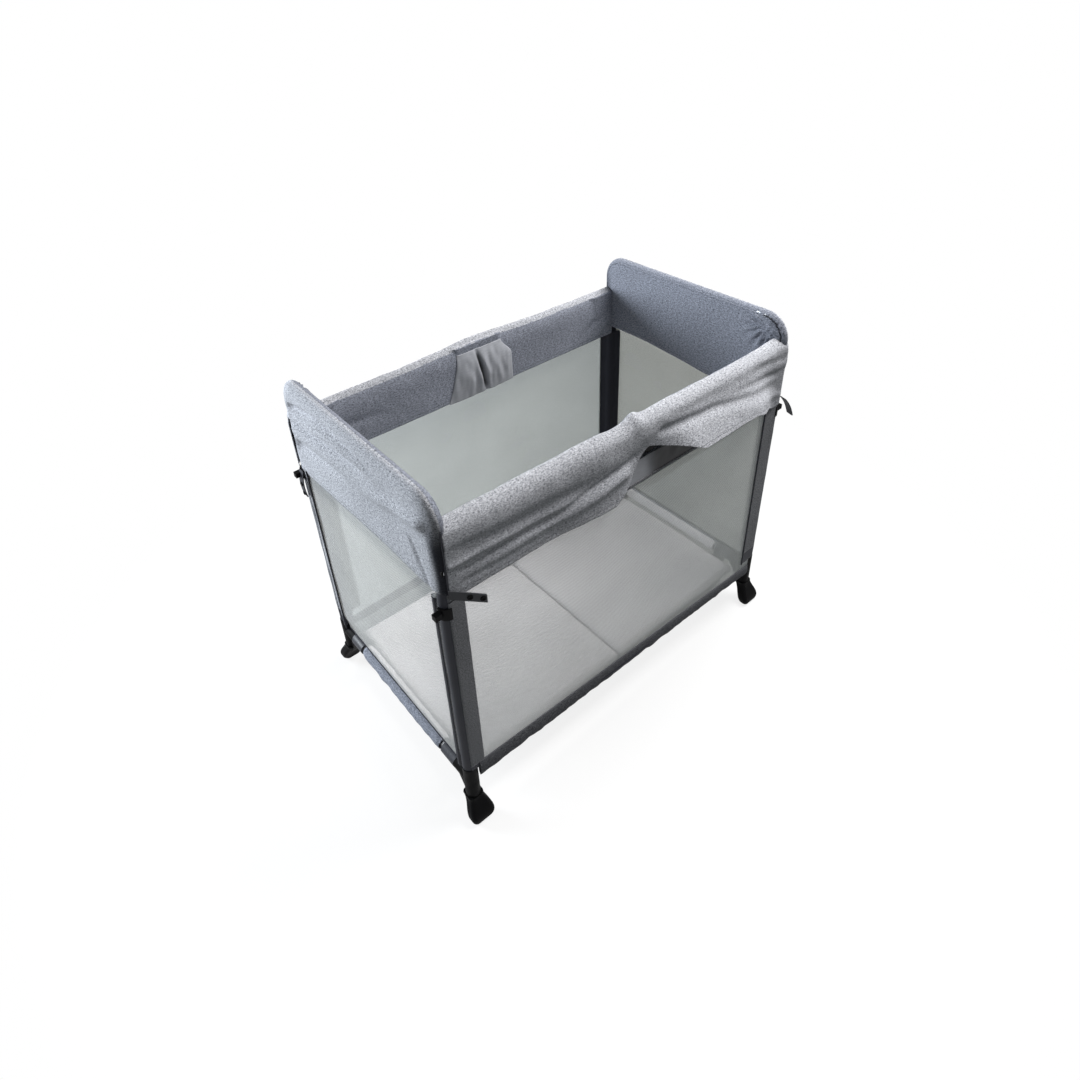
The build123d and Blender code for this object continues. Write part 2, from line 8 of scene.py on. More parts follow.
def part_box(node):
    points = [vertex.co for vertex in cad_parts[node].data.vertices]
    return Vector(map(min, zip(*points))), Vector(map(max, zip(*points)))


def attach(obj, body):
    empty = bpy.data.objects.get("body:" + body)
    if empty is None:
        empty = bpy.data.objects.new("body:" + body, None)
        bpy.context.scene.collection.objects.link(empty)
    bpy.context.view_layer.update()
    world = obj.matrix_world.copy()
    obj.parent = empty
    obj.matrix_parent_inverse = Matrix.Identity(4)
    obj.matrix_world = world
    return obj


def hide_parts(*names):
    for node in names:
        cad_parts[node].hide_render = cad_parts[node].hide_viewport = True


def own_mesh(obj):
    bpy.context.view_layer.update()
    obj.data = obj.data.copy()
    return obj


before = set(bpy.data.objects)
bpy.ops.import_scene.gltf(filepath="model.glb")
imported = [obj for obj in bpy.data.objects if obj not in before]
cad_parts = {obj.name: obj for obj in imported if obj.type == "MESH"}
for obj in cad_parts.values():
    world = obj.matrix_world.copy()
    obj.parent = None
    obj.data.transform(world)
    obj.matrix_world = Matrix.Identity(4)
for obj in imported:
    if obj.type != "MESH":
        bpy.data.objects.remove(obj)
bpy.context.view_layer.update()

bl_info = {
    "name": "Folding travel cot",
    "version": (1, 0, 0),
    "blender": (4, 5, 0),
    "location": "View3D > Sidebar > Cot",
    "description": "Fabric, nets and finishes of a folding travel cot on its packed frame",
    "category": "Object",
}

MM = 0.001
SIDES = {"left": -1, "right": 1}
FACES = {"front": -1, "back": 1}
UP = Vector((0, 0, 1))
ALONG = Vector((1, 0, 0))

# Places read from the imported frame, in metres
HOOP_LOW, HOOP_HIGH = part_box("left_hoop")
LEG_RADIUS = (HOOP_HIGH.x - HOOP_LOW.x) / 2
LEG_X = -(HOOP_LOW.x + HOOP_HIGH.x) / 2
LEG_Y = HOOP_HIGH.y - LEG_RADIUS
PANEL_LOW, PANEL_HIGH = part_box("left_end_cover")
HEM_Z = PANEL_LOW.z
TOP_Z = PANEL_HIGH.z
NET_LOW, NET_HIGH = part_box("front_mesh")
NET_OUT = -(NET_LOW.y + NET_HIGH.y) / 2 - LEG_Y
SLEEVE_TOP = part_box("left_frame_sleeves")[1].z
FOOT_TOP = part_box("left_front_foot")[1].z
BAR_LOW, BAR_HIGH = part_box("left_bottom_bar")
BAR_Z = (BAR_LOW.z + BAR_HIGH.z) / 2
PIVOT_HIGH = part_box("base_left_pivots")[1]
SIDE_HEM_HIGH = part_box("front_bottom_hem")[1]
TUBE_LOW, TUBE_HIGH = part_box("front_rail_left_tube")
RAIL_Z = (TUBE_LOW.z + TUBE_HIGH.z) / 2
RAIL_RADIUS = (TUBE_HIGH.z - TUBE_LOW.z) / 2
FORK_LOW, FORK_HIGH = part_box("front_rail_left_fork")
HINGE_LOW, HINGE_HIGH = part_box("front_rail_right_hinge")
BUTTON_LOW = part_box("front_release_button")[0].z

# Thickness of the thinner cloths
NET_THREAD = 0.8 * MM
TAPE = 1.2 * MM
NYLON = 0.6 * MM
HEM_CLOTH = 0.8 * MM
STRAP_CLOTH = 1.8 * MM
# Unevenness of the cloths, each as the size and the height of its waves
PANEL_WAVES = (0.09, 1.6 * MM)
PANEL_LUMPS = (0.03, 0.6 * MM)
SLEEVE_LUMPS = (0.05, 0.8 * MM)
SIDE_STRIP_LUMPS = (0.03, 0.6 * MM)
END_STRIP_LUMPS = (0.03, 0.4 * MM)
BAR_WAVES = (0.03, 2.6 * MM)
BAR_LUMPS = (0.02, 0.8 * MM)
NET_WAVES = (0.11, 1.6 * MM)
RAIL_WAVES = (0.06, 1.5 * MM)
RAIL_LUMPS = (0.022, 0.7 * MM)
LINING_LUMPS = (0.02, 2.0 * MM)
GUSSET_LUMPS = (0.014, 5.0 * MM)
HEM_WAVES = (0.03, 2.5 * MM)
HEM_LUMPS = (0.012, 1.2 * MM)
# End panels: the hem's gap and the stretch where it lifts, the gathers of a top corner, and the painted shade
# on the rounded edge at the plain corner
PANEL_GAP = 2 * MM
LIFT_STRETCH = (-0.25, 0.17)
GATHER_AT = 0.03
GATHER_SIZE = 0.03
GATHER_COUNT = 15
GATHER_HEIGHT = 5.5 * MM
SEAM_GROOVE = 1.3 * MM
SEAM_GROOVE_WIDTH = 2.5 * MM
PAINTED_SHADE_NEAR = (70 * MM, 55 * MM)
PAINTED_SHADE_BELOW = (0.02, 0.105)
# Seams of the end panels: how far the top seam runs down, its cord, and the piping down the plain corner
SEAM_UPRIGHT = 15 * MM
SEAM_CORD = 1.4 * MM
SEAM_LUMPS = (0.006, 0.9 * MM)
CORNER_CORD = 1.6 * MM
CORNER_OUT = 1.4 * MM
# Leg sleeves: what is hidden in the panel, how it narrows there, and the strips sewn along the legs
SLEEVE_TUCK = 46 * MM
TUCK_START = 14 * MM
TUCK_END = 2 * MM
TUCK_DEPTH = 2.6 * MM
PLAIN_END_FLANGE = 10 * MM
STRIP_START = 9 * MM
STRIP_LAP = 5 * MM
STRIP_SEAM = 6 * MM
INNER_STRIP = 62 * MM
INNER_RISE = 9 * MM
STRIP_GAP = 1.0 * MM
STRIP_OVER_NET = 1.4 * MM
INNER_GAP = 1.2 * MM
INNER_BEHIND_NET = 2 * MM
PIPING_OUT = 2.0 * MM
# Bar sleeves: length of the knuckle at each end
PIVOT_LENGTH = 34 * MM
# Nets: how far their edges lie inside the legs, and where they narrow, draw in and tuck under the panels
NET_EDGE = 7 * MM
END_NET_LIFT = 19 * MM
NET_SEWN = 8 * MM
NET_NARROW = 14 * MM
NARROW_HEIGHT = 25 * MM
NET_DRAWN = 11 * MM
DRAWN_HEIGHT = 70 * MM
NET_TUCK = 6 * MM
NET_TUCK_LOW = 4 * MM
NET_TUCK_HIGH = 28 * MM
NET_BEHIND = 1 * MM
TAPE_LIFT = 1.0 * MM
# Rail canvas clear of the hard pieces: gap, how soon it closes over them, and how far off it starts to widen
HARD_GAP = 2.2 * MM
HARD_FADE = 3 * MM
FORK_APPROACH = 60 * MM
HINGE_APPROACH = 30 * MM
HARD_BELOW = 18 * MM
# Rail canvas at the legs and over the nets: where it is held out, its gap, how it meets the panel, and how
# far in the darker inner canvas of painted shade begins
HELD_STRETCH = (45 * MM, 12 * MM)
HELD_GAP = 2.4 * MM
OVER_NET = (4 * MM, 16 * MM)
PANEL_LAP = 0.8 * MM
INNER_SHADE_FROM = 9 * MM
# Rail canvas: the stretches along the rail where the flap beside the slit and the lip across from it stand
# out and come back
FLAP_RISE = (0.0, 0.13)
FLAP_FALL = (0.33, 0.455)
LIP_RISE = (-0.26, -0.11)
LIP_FALL = (-0.06, 0.0)
LIP_SHARE = 0.3
# Ridge of the rail canvas: the bump at the hinge with the hollow before it, the slope along the front rail,
# the rise at its wrapped end, and how far the back rail's rise reaches from its hinge
BUMP_AT, BUMP_WIDTH = -0.010, 0.016
HOLLOW_AT, HOLLOW_WIDTH = -0.06, 0.03
RIDGE_SLOPE = 4 * MM
END_RISE = 9 * MM
END_RISE_START = 0.32
BACK_RISE_WIDTH = 0.13
# Nylon behind the slit and gusset inside the hinge
LINING_START = -0.11
LINING_LENGTH = 0.32
GUSSET_DROP = 25 * MM
GUSSET_LAP = 2 * MM
GUSSET_GAP = 1.2 * MM
GUSSET_PUFF = 11 * MM
FOLD_WIDTH = 5 * MM
LINING_LAP = 4 * MM
LINING_LEAN = 5 * MM
LINING_BEHIND = 0.6 * MM
LINING_CLEAR = 3 * MM
BUTTON_GAP = 3 * MM
# Bottom hems: half depth, how far painted shade darkens them, and the slot at the base hinge
HEM_DEPTH = 4.5 * MM
HEM_PAINTED_SHADE = 0.5
SLOT_START = -0.107
SLOT_LENGTH = 0.17
SLOT_DROP = 2 * MM
SLOT_SUNK = 1.0 * MM
SLOT_END = 0.5 * MM
SLOT_SWELL = 3.4 * MM
HEM_END = 4 * MM
# Closing straps: their start beside the leg and their run to the free end, at a plain corner, at the wrapped
# corner on the right and at the one on the left
PLAIN_STRAP = (Vector((4, 20, 41)) * MM, Vector((-58, 27, -26)) * MM)
RIGHT_STRAP = (Vector((22, 8, 16)) * MM, Vector((44, 0, -64)) * MM)
LEFT_STRAP = (Vector((18.5, 6, -3)) * MM, Vector((3, 0, -68)) * MM)
STRAP_BOW = 4 * MM
# Mattress: how the pad differs from its place, its edge, its mesh, and how it is filled
PAD_GROWTH = Vector((7 * MM, -4 * MM, -5 * MM))
PAD_SHIFT = 2.1 * MM
PAD_DROP = 2.5 * MM
PAD_EDGE = 3 * MM
PAD_MESH = 6 * MM
FILL_PRESSURE = 4.0
FILL_FRAMES = 20
FILL_CAP = 5 * MM
FILL_GAP = 0.3 * MM


def linear(colour):
    """Turn an sRGB hex colour into the linear values that shaders use."""
    parts = [int(colour[i:i + 2], 16) / 255 for i in (1, 3, 5)]
    return [p / 12.92 if p <= 0.04045 else ((p + 0.055) / 1.055) ** 2.4 for p in parts]


def length_value(name, description, millimetres):
    """A length that a user may change, given in millimetres."""
    return bpy.props.FloatProperty(
        name=name, description=description, default=millimetres * MM, min=0.0, precision=4, unit="LENGTH"
    )


def colour_value(name, description, colour):
    """A colour that a user may change, given as sRGB hex."""
    return bpy.props.FloatVectorProperty(
        name=name, description=description, default=linear(colour), size=3, min=0.0, max=1.0, subtype="COLOR"
    )


class CotSizes(bpy.types.PropertyGroup):
    """Sizes of the soft pieces and their patterns."""

    cloth: length_value("Cloth thickness", "Thickness of the canvas with its backing", 1.2)
    panel_roll: length_value("Panel roll", "Radius of the canvas round the hoop", 15.6)
    panel_edge: length_value("Panel edge", "Width over which the canvas turns in to its edge", 30)
    panel_corner: length_value("Panel corner", "Radius of the top corners of the end panels", 60)
    panel_sink: length_value("Panel sink", "How far the middle of an end panel sinks in", 3)
    # Painted shade: width of the dark band painted on the rounded edge at a plain corner, where that edge
    # turns away from the light
    panel_painted_shade: length_value("Dark edge", "Width of the dark turned edge at a plain corner", 19)
    panel_lift: length_value("Panel lift", "How far an end panel's hem rises towards its plain corner", 26)
    seam_drop: length_value("Seam drop", "How far the piped seam lies below the panel's top", 10)
    hem_band: length_value("Hem band", "Height of the stitch line over a hem", 9)
    front_top: length_value("Front rail top", "Height of the padded front rail", 803)
    back_top: length_value("Back rail top", "Height of the back rail over its hinge", 784)
    back_dip: length_value("Back rail dip", "How far the back rail falls away from its hinge", 10)
    skirt_rise: length_value("Skirt rise", "How far the rail skirts end above the panels' hems", 6)
    hinge_bump: length_value("Hinge bump", "Rise of the canvas over the rail hinge", 10)
    slit_lift: length_value("Slit lift", "How far the flap beside the slit lifts", 2)
    net_hole: length_value("Net pitch", "Spacing of the net's holes", 2.8)
    net_slack: length_value("Net slack", "How far the nets belly out", 3)
    net_top: length_value("Net top", "How far the side nets reach up behind the hems", 24)
    end_net_top: length_value("End net top", "How far the end nets reach up into the panels", 40)
    leg_slack: length_value("Leg slack", "Gap from a leg to the outside of its sleeve", 4.9)
    flange: length_value("Flange", "Width of the sewn strip between a leg and a side net", 28)
    wrap_flange: length_value("Wrapped flange", "Width of that strip at a wrapped corner", 42)
    end_flange: length_value("End flange", "Width of the strip along an end net at a wrapped corner", 20)
    piping: length_value("Piping", "Thickness of the dark piping beside a wrapped corner", 4)
    cuff: length_value("Cuff", "Height of the dark cuff at the foot of a sleeve", 16)
    wrap_cuff: length_value("Wrapped cuff", "Height of that cuff at a wrapped corner", 42)
    binding: length_value("Binding", "Width of the tape that binds the nets", 7)
    bar_slack: length_value("Bar slack", "Gap from a bottom bar to the outside of its sleeve", 6.5)
    hem_height: length_value("Side hem", "Half height of the hems under the side nets", 19)
    hem_drop: length_value("Side hem drop", "How far the middle of a side hem lies below its frame", 16)
    hem_sag: length_value("Side hem sag", "How far a side hem sags towards its wrapped end", 14.5)
    strap_width: length_value("Strap width", "Width of the closing straps", 20)
    strap_length: length_value("Strap length", "Length of the closing straps", 76)
    stitch: length_value("Stitch", "Length of one stitch", 3.4)
    stitch_pitch: length_value("Stitch pitch", "Distance from one stitch to the next", 5.2)
    streak: length_value("Fibre streak", "Length of the streaks in the canvas", 4.4)
    yarn: length_value("Yarn", "Width of the streaks in the canvas", 1.3)


class CotColours(bpy.types.PropertyGroup):
    """Colours of the cloth, plastic and metal."""

    canvas_light: colour_value("Canvas, pale fibre", "Pale fibre of the outer canvas", "#dcdee4")
    canvas_dark: colour_value("Canvas, dark fibre", "Dark fibre of the outer canvas", "#55565c")
    # The inner canvas is the same melange as the outer one, made darker as painted shade for the faces inside
    # the cot
    inner_shade_light: colour_value("Inner canvas, pale fibre", "Pale fibre of the inner canvas", "#a9adb9")
    inner_shade_dark: colour_value("Inner canvas, dark fibre", "Dark fibre of the inner canvas", "#41454e")
    sleeve_light: colour_value("Sleeve, pale fibre", "Pale fibre of the leg sleeves", "#a6a7ab")
    sleeve_dark: colour_value("Sleeve, dark fibre", "Dark fibre of the leg sleeves", "#404146")
    # Navy is also the colour the canvases are mixed towards for painted shade, and the colour of their
    # stitches
    navy: colour_value("Navy nylon", "Dark nylon on the inside of the legs", "#171922")
    webbing: colour_value("Webbing", "Woven tape of the closing straps", "#4a4b4f")
    nylon: colour_value("Grey nylon", "Smooth gussets at the rail hinges", "#a3a5ab")
    net_outside: colour_value("Net outside", "Outer face of the nets", "#f3f3f7")
    # The inner face of the nets is the same net, coloured darker as painted shade
    net_inside_shade: colour_value("Net inside", "Inner face of the nets", "#9ca194")
    mattress: colour_value("Mattress", "Top cloth of the mattress", "#f0ecee")
    foot: colour_value("Foot plastic", "Moulded feet and clips", "#050506")
    knuckle: colour_value("Knuckle plastic", "Moulded knuckles on the bottom bars", "#26282f")
    tube: colour_value("Tube", "Bare frame tube", "#b4b7bb")
    steel: colour_value("Rivet steel", "Rivets, pins and studs", "#8c8e92")
    board: colour_value("Board", "Hardboard under the mattress", "#4a3c30")
    floor: colour_value("Floor", "Plain floor and background", "#ffffff")


def add_node(tree, kind, inputs=None, **settings):
    """Add one shader node with its settings, and set or link its inputs."""
    node = tree.nodes.new(kind)
    for name, value in settings.items():
        setattr(node, name, value)
    for name, value in (inputs or {}).items():
        if isinstance(value, bpy.types.NodeSocket):
            tree.links.new(value, node.inputs[name])
        else:
            node.inputs[name].default_value = value
    return node


def new_finish(name, **values):
    """A new material with its shader's plain values set, as (material, tree, shader)."""
    material = bpy.data.materials.new(name)
    material.use_nodes = True
    shader = material.node_tree.nodes["Principled BSDF"]
    for key, value in values.items():
        shader.inputs[key.replace("_", " ")].default_value = value
    return material, material.node_tree, shader


def spread(tree, value, low, high, to_low=0.0, to_high=1.0):
    """Stretch a value from one range to another."""
    inputs = {"Value": value, "From Min": low, "From Max": high, "To Min": to_low, "To Max": to_high}
    return add_node(tree, "ShaderNodeMapRange", inputs).outputs["Result"]


def blended(tree, share, first, second, blend_type="MIX"):
    """Mix two colours by a share."""
    inputs = {"Factor": share, "A": first, "B": second}
    return add_node(tree, "ShaderNodeMix", inputs, data_type="RGBA", blend_type=blend_type).outputs["Result"]


def sum_up(tree, operation, first, second=0.0):
    """One step of arithmetic."""
    return add_node(tree, "ShaderNodeMath", {0: first, 1: second}, operation=operation).outputs["Value"]


def streaks(tree, place, across, along, seed):
    """Noise drawn out along one direction of the cloth, which gives spun yarn its streaks."""
    inputs = {"Vector": place, "Scale": (1 / along, 1 / across, 1), "Location": (seed, seed, 0)}
    drawn = add_node(tree, "ShaderNodeMapping", inputs)
    inputs = {"Vector": drawn.outputs["Vector"], "Scale": 1.0, "Detail": 2.0}
    return add_node(tree, "ShaderNodeTexNoise", inputs).outputs["Fac"]


def stitch_line(tree, cloth, sizes):
    """1 on a row of stitches that runs along a hem."""
    parts = add_node(tree, "ShaderNodeSeparateXYZ", {"Vector": cloth})
    gap = sum_up(tree, "ABSOLUTE", sum_up(tree, "SUBTRACT", parts.outputs["Y"], sizes.hem_band))
    line = spread(tree, gap, 0.4 * MM, 1.1 * MM, 1.0, 0.0)
    step = sum_up(tree, "FRACT", sum_up(tree, "DIVIDE", parts.outputs["X"], sizes.stitch_pitch))
    dash = sum_up(tree, "LESS_THAN", step, sizes.stitch / sizes.stitch_pitch)
    return sum_up(tree, "MULTIPLY", line, dash)


def melange_canvas(name, light, dark, edge, sizes):
    """Heathered polyester canvas: pale and dark fibres are spun into one yarn and woven plain, so the eye
    gets short streaks along the weft, a dull surface and a stitched hem. The real yarn is under half a
    millimetre, too fine for the picture, so its streaks are drawn about three times as coarse."""
    material, tree, shader = new_finish(name, Roughness=0.95, Specular_IOR_Level=0.15)
    cloth = add_node(tree, "ShaderNodeUVMap", uv_map="cloth").outputs["UV"]
    weft = streaks(tree, cloth, sizes.yarn, sizes.streak, 0.0)
    speck = streaks(tree, cloth, sizes.yarn * 0.8, sizes.yarn * 1.8, 7.0)
    slub = streaks(tree, cloth, sizes.yarn * 2.6, sizes.streak * 1.9, 11.0)
    soil = streaks(tree, cloth, 0.16, 0.22, 3.0)
    fine = add_node(tree, "ShaderNodeMix", {"Factor": 0.5, "A": weft, "B": speck}).outputs["Result"]
    woven = add_node(tree, "ShaderNodeMix", {"Factor": 0.2, "A": fine, "B": slub}).outputs["Result"]
    fibre = blended(tree, spread(tree, woven, 0.39, 0.61), (*dark, 1), (*light, 1))
    toned = blended(tree, 1.0, fibre, spread(tree, soil, 0.3, 0.7, 0.9), "MULTIPLY")
    # Painted shade: the "edge" attribute mixes the canvas towards the given dark colour wherever a piece asks
    # for shade
    turned = add_node(tree, "ShaderNodeAttribute", attribute_name="edge").outputs["Fac"]
    shaded = blended(tree, turned, toned, (*edge, 1))
    stitched = sum_up(tree, "MULTIPLY", stitch_line(tree, cloth, sizes), 0.55)
    colour = blended(tree, stitched, shaded, (*edge, 1))
    height = sum_up(tree, "SUBTRACT", woven, stitched)
    raised = add_node(tree, "ShaderNodeBump", {"Height": height, "Strength": 0.6, "Distance": 0.6 * MM})
    tree.links.new(colour, shader.inputs["Base Color"])
    tree.links.new(raised.outputs["Normal"], shader.inputs["Normal"])
    return material


def knitted_net(name, colour, sizes):
    """Warp-knitted polyester net: rows of small round holes between soft threads. It is dull and mostly
    see-through, and its threads let some light pass, so it glows a little when lit from behind. The real
    holes are about 1.5 mm apart, so they are drawn about twice as coarse to show."""
    material, tree, shader = new_finish(name, Roughness=0.9, Specular_IOR_Level=0.1)
    cloth = add_node(tree, "ShaderNodeUVMap", uv_map="cloth").outputs["UV"]
    diagonal = math.radians(45)
    waves = math.tau / sizes.net_hole
    inputs = {"Vector": cloth, "Rotation": (0, 0, diagonal), "Scale": (waves, waves, waves)}
    turned = add_node(tree, "ShaderNodeMapping", inputs)
    parts = add_node(tree, "ShaderNodeSeparateXYZ", {"Vector": turned.outputs["Vector"]})
    first = sum_up(tree, "COSINE", parts.outputs["X"])
    second = sum_up(tree, "COSINE", parts.outputs["Y"])
    thread = spread(tree, sum_up(tree, "ADD", first, second), -0.4, 1.2, 0.52, 0.26)
    tint = streaks(tree, cloth, 0.12, 0.18, 5.0)
    toned = blended(tree, 1.0, (*colour, 1), spread(tree, tint, 0.3, 0.7, 0.92), "MULTIPLY")
    raised = add_node(tree, "ShaderNodeBump", {"Height": thread, "Strength": 0.4, "Distance": 0.4 * MM})
    tree.links.new(toned, shader.inputs["Base Color"])
    tree.links.new(raised.outputs["Normal"], shader.inputs["Normal"])
    glow = add_node(tree, "ShaderNodeBsdfTranslucent", {"Color": toned}).outputs[0]
    lit = add_node(tree, "ShaderNodeMixShader", {0: 0.5, 1: shader.outputs[0], 2: glow}).outputs[0]
    hole = add_node(tree, "ShaderNodeBsdfTransparent").outputs[0]
    both = add_node(tree, "ShaderNodeMixShader", {0: thread, 1: hole, 2: lit})
    tree.links.new(both.outputs[0], tree.nodes["Material Output"].inputs["Surface"])
    return material


def woven_nylon(name, colour, roughness):
    """Plain-woven nylon: filament yarn lies flat, so the cloth is even in colour with a soft dull shine, and
    darkened by painted shade deep in its folds and under flaps, where a piece's attribute asks."""
    material, tree, shader = new_finish(name, Roughness=roughness, Specular_IOR_Level=0.25)
    cloth = add_node(tree, "ShaderNodeUVMap", uv_map="cloth").outputs["UV"]
    rib = streaks(tree, cloth, 1.2 * MM, 20 * MM, 0.0)
    toned = blended(tree, 1.0, (*colour, 1), spread(tree, rib, 0.3, 0.7, 0.8), "MULTIPLY")
    fold_painted_shade = add_node(tree, "ShaderNodeAttribute", attribute_name="edge").outputs["Fac"]
    shaded = blended(tree, fold_painted_shade, toned, (0.004, 0.004, 0.005, 1))
    raised = add_node(tree, "ShaderNodeBump", {"Height": rib, "Strength": 0.3, "Distance": 0.2 * MM})
    tree.links.new(shaded, shader.inputs["Base Color"])
    tree.links.new(raised.outputs["Normal"], shader.inputs["Normal"])
    return material


def grained(name, colour, grit, depth, variation, **values):
    """A hard surface with a fine grain from its mould, mill or brush: uneven in tone, with a broken shine."""
    material, tree, shader = new_finish(name, **values)
    place = add_node(tree, "ShaderNodeTexCoord").outputs["Object"]
    grain = add_node(tree, "ShaderNodeTexNoise", {"Vector": place, "Scale": 1 / grit, "Detail": 3.0})
    wear = add_node(tree, "ShaderNodeTexNoise", {"Vector": place, "Scale": 1 / (40 * MM), "Detail": 2.0})
    tone = spread(tree, wear.outputs["Fac"], 0.3, 0.7, 1 - variation, 1 + variation)
    rough = values["Roughness"]
    gloss = spread(tree, wear.outputs["Fac"], 0.3, 0.7, rough * 0.85, rough * 1.15)
    inputs = {"Height": grain.outputs["Fac"], "Strength": 0.3, "Distance": depth}
    raised = add_node(tree, "ShaderNodeBump", inputs)
    tree.links.new(blended(tree, 1.0, (*colour, 1), tone, "MULTIPLY"), shader.inputs["Base Color"])
    tree.links.new(gloss, shader.inputs["Roughness"])
    tree.links.new(raised.outputs["Normal"], shader.inputs["Normal"])
    return material


FINISHES = {}


def finishes(context):
    """Every finish of the cot by its short name, made once."""
    if FINISHES:
        return FINISHES
    c = context.scene.cot_colours
    s = context.scene.cot_sizes
    pale = [v * 0.85 for v in c.mattress]
    FINISHES["canvas"] = melange_canvas("melange polyester canvas", c.canvas_light, c.canvas_dark, c.navy, s)
    # A darker copy of the canvas for inner faces: painted shade
    FINISHES["inner"] = melange_canvas("melange inner canvas", c.inner_shade_light, c.inner_shade_dark, c.navy, s)
    FINISHES["sleeve"] = melange_canvas("melange sleeve canvas", c.sleeve_light, c.sleeve_dark, c.navy, s)
    FINISHES["mattress"] = melange_canvas("brushed mattress cloth", c.mattress, pale, c.mattress, s)
    FINISHES["navy"] = woven_nylon("navy woven nylon", c.navy, 0.65)
    FINISHES["webbing"] = woven_nylon("polypropylene webbing", c.webbing, 0.7)
    FINISHES["nylon"] = woven_nylon("grey woven nylon", c.nylon, 0.55)
    FINISHES["net"] = knitted_net("knitted polyester net, outside", c.net_outside, s)
    # Inner faces of the nets take the darker colour: painted shade
    FINISHES["net inside"] = knitted_net("knitted polyester net, inside", c.net_inside_shade, s)
    # Moulded polypropylene is near black, with a fine spark grain that breaks up its shine
    FINISHES["foot"] = grained(
        "moulded polypropylene", c.foot, 0.7 * MM, 0.06 * MM, 0.15, Roughness=0.6, Specular_IOR_Level=0.06
    )
    # Glass-filled nylon is a shade paler and duller than the feet
    FINISHES["knuckle"] = grained(
        "glass-filled nylon", c.knuckle, 0.8 * MM, 0.05 * MM, 0.12, Roughness=0.5, Specular_IOR_Level=0.35
    )
    # Drawn steel tube under a thin silver lacquer, with a soft even shine
    FINISHES["tube"] = grained(
        "silver lacquered steel tube", c.tube, 0.6 * MM, 0.02 * MM, 0.06, Roughness=0.34, Metallic=1.0
    )
    # Turned steel rivets with small scratches
    FINISHES["steel"] = grained(
        "turned rivet steel", c.steel, 0.4 * MM, 0.03 * MM, 0.1, Roughness=0.3, Metallic=1.0
    )
    # Pressed wood fibre, brown and dull
    FINISHES["board"] = grained("pressed hardboard", c.board, 1.5 * MM, 0.2 * MM, 0.2, Roughness=0.85)
    return FINISHES


def lay_sheet(columns, rows, place, cut):
    """A grid of cloth, put in place by a function of two shares; its UV map is the flat cut in metres."""
    bm = bmesh.new()
    flat = bm.loops.layers.uv.new("cloth")
    bmesh.ops.create_grid(bm, x_segments=columns, y_segments=rows, size=0.5)
    for face in bm.faces:
        for loop in face.loops:
            loop[flat].uv = cut(loop.vert.co.x + 0.5, loop.vert.co.y + 0.5)
    for vert in bm.verts:
        vert.co = place(vert.co.x + 0.5, vert.co.y + 0.5)
    return bm


def plain_cut(width, length, lift=0.02):
    """The cut of a plain strip; lift keeps it away from the stitches of the hems."""
    return lambda across, up: (across * width, lift + up * length)


def lay_cord(steps, path, radius, beside):
    """A round cord along a path of shares, closed at both ends; beside is never along the cord."""
    nudge = 0.5 / steps

    def place(along, round_it):
        way = path(min(along + nudge, 1.0)) - path(max(along - nudge, 0.0))
        aside = way.cross(beside).normalized()
        over = way.cross(aside).normalized()
        angle = math.tau * round_it
        return path(along) + (aside * math.cos(angle) + over * math.sin(angle)) * radius(along)

    bm = lay_sheet(steps, 8, place, plain_cut(1.0, 10 * MM))
    weld(bm)
    bmesh.ops.holes_fill(bm, edges=[e for e in bm.edges if e.is_boundary])
    bmesh.ops.recalc_face_normals(bm, faces=bm.faces[:])
    return bm


def turn_out(bm, outwards):
    """Turn the faces of a sheet so that they point the way the function of a place says."""
    bm.normal_update()
    agree = sum(f.normal.dot(outwards(f.calc_center_median())) * f.calc_area() for f in bm.faces)
    if agree < 0:
        bmesh.ops.reverse_faces(bm, faces=bm.faces[:])


def weld(bm):
    """Close the seams of a sheet that meets itself."""
    bmesh.ops.remove_doubles(bm, verts=bm.verts[:], dist=0.02 * MM)


def make_piece(context, name, bm, materials, smooth=1, thickness=0.0, inner=0):
    """Finish a mesh as a piece of the cot: smoothed, and given the thickness of its cloth."""
    mesh = bpy.data.meshes.new(name)
    bm.to_mesh(mesh)
    bm.free()
    for polygon in mesh.polygons:
        polygon.use_smooth = True
    for material in materials:
        mesh.materials.append(material)
    piece = bpy.data.objects.new(name, mesh)
    context.scene.collection.objects.link(piece)
    if smooth:
        round_off = piece.modifiers.new("Smooth", "SUBSURF")
        round_off.levels = smooth
        round_off.render_levels = smooth
    if thickness:
        wall = piece.modifiers.new("Thickness", "SOLIDIFY")
        wall.thickness = thickness
        wall.offset = -1
        wall.material_offset = inner
        wall.use_rim = True
    return piece


def close_with_sides(piece):
    """The side cloth hangs from the left end and takes a mesh of its own."""
    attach(piece, "left_end")
    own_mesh(piece)


def corners():
    """Each corner as (end, side, face name, face, plain): at plain corners the panel meets the rail in a
    seam, and at the others the rail's canvas wraps round the panel's edge."""
    for name, side in SIDES.items():
        for face_name, face in FACES.items():
            yield name, side, face_name, face, side == face


def uneven(a, b, seed, size, height):
    """Gentle unevenness of cloth: a smooth random height at a place on it."""
    return noise.noise(Vector((a / size, b / size, seed))) * height


def ramp(value, low, high):
    """A smooth rise from 0 to 1 between two values."""
    share = max(0.0, min(1.0, (value - low) / (high - low)))
    return share * share * (3 - 2 * share)


def eased(share, ends):
    """A share drawn towards both ends of its range, so that the grid is finer there."""
    return (1 - ends) * share + ends * (0.5 - 0.5 * math.cos(math.pi * share))


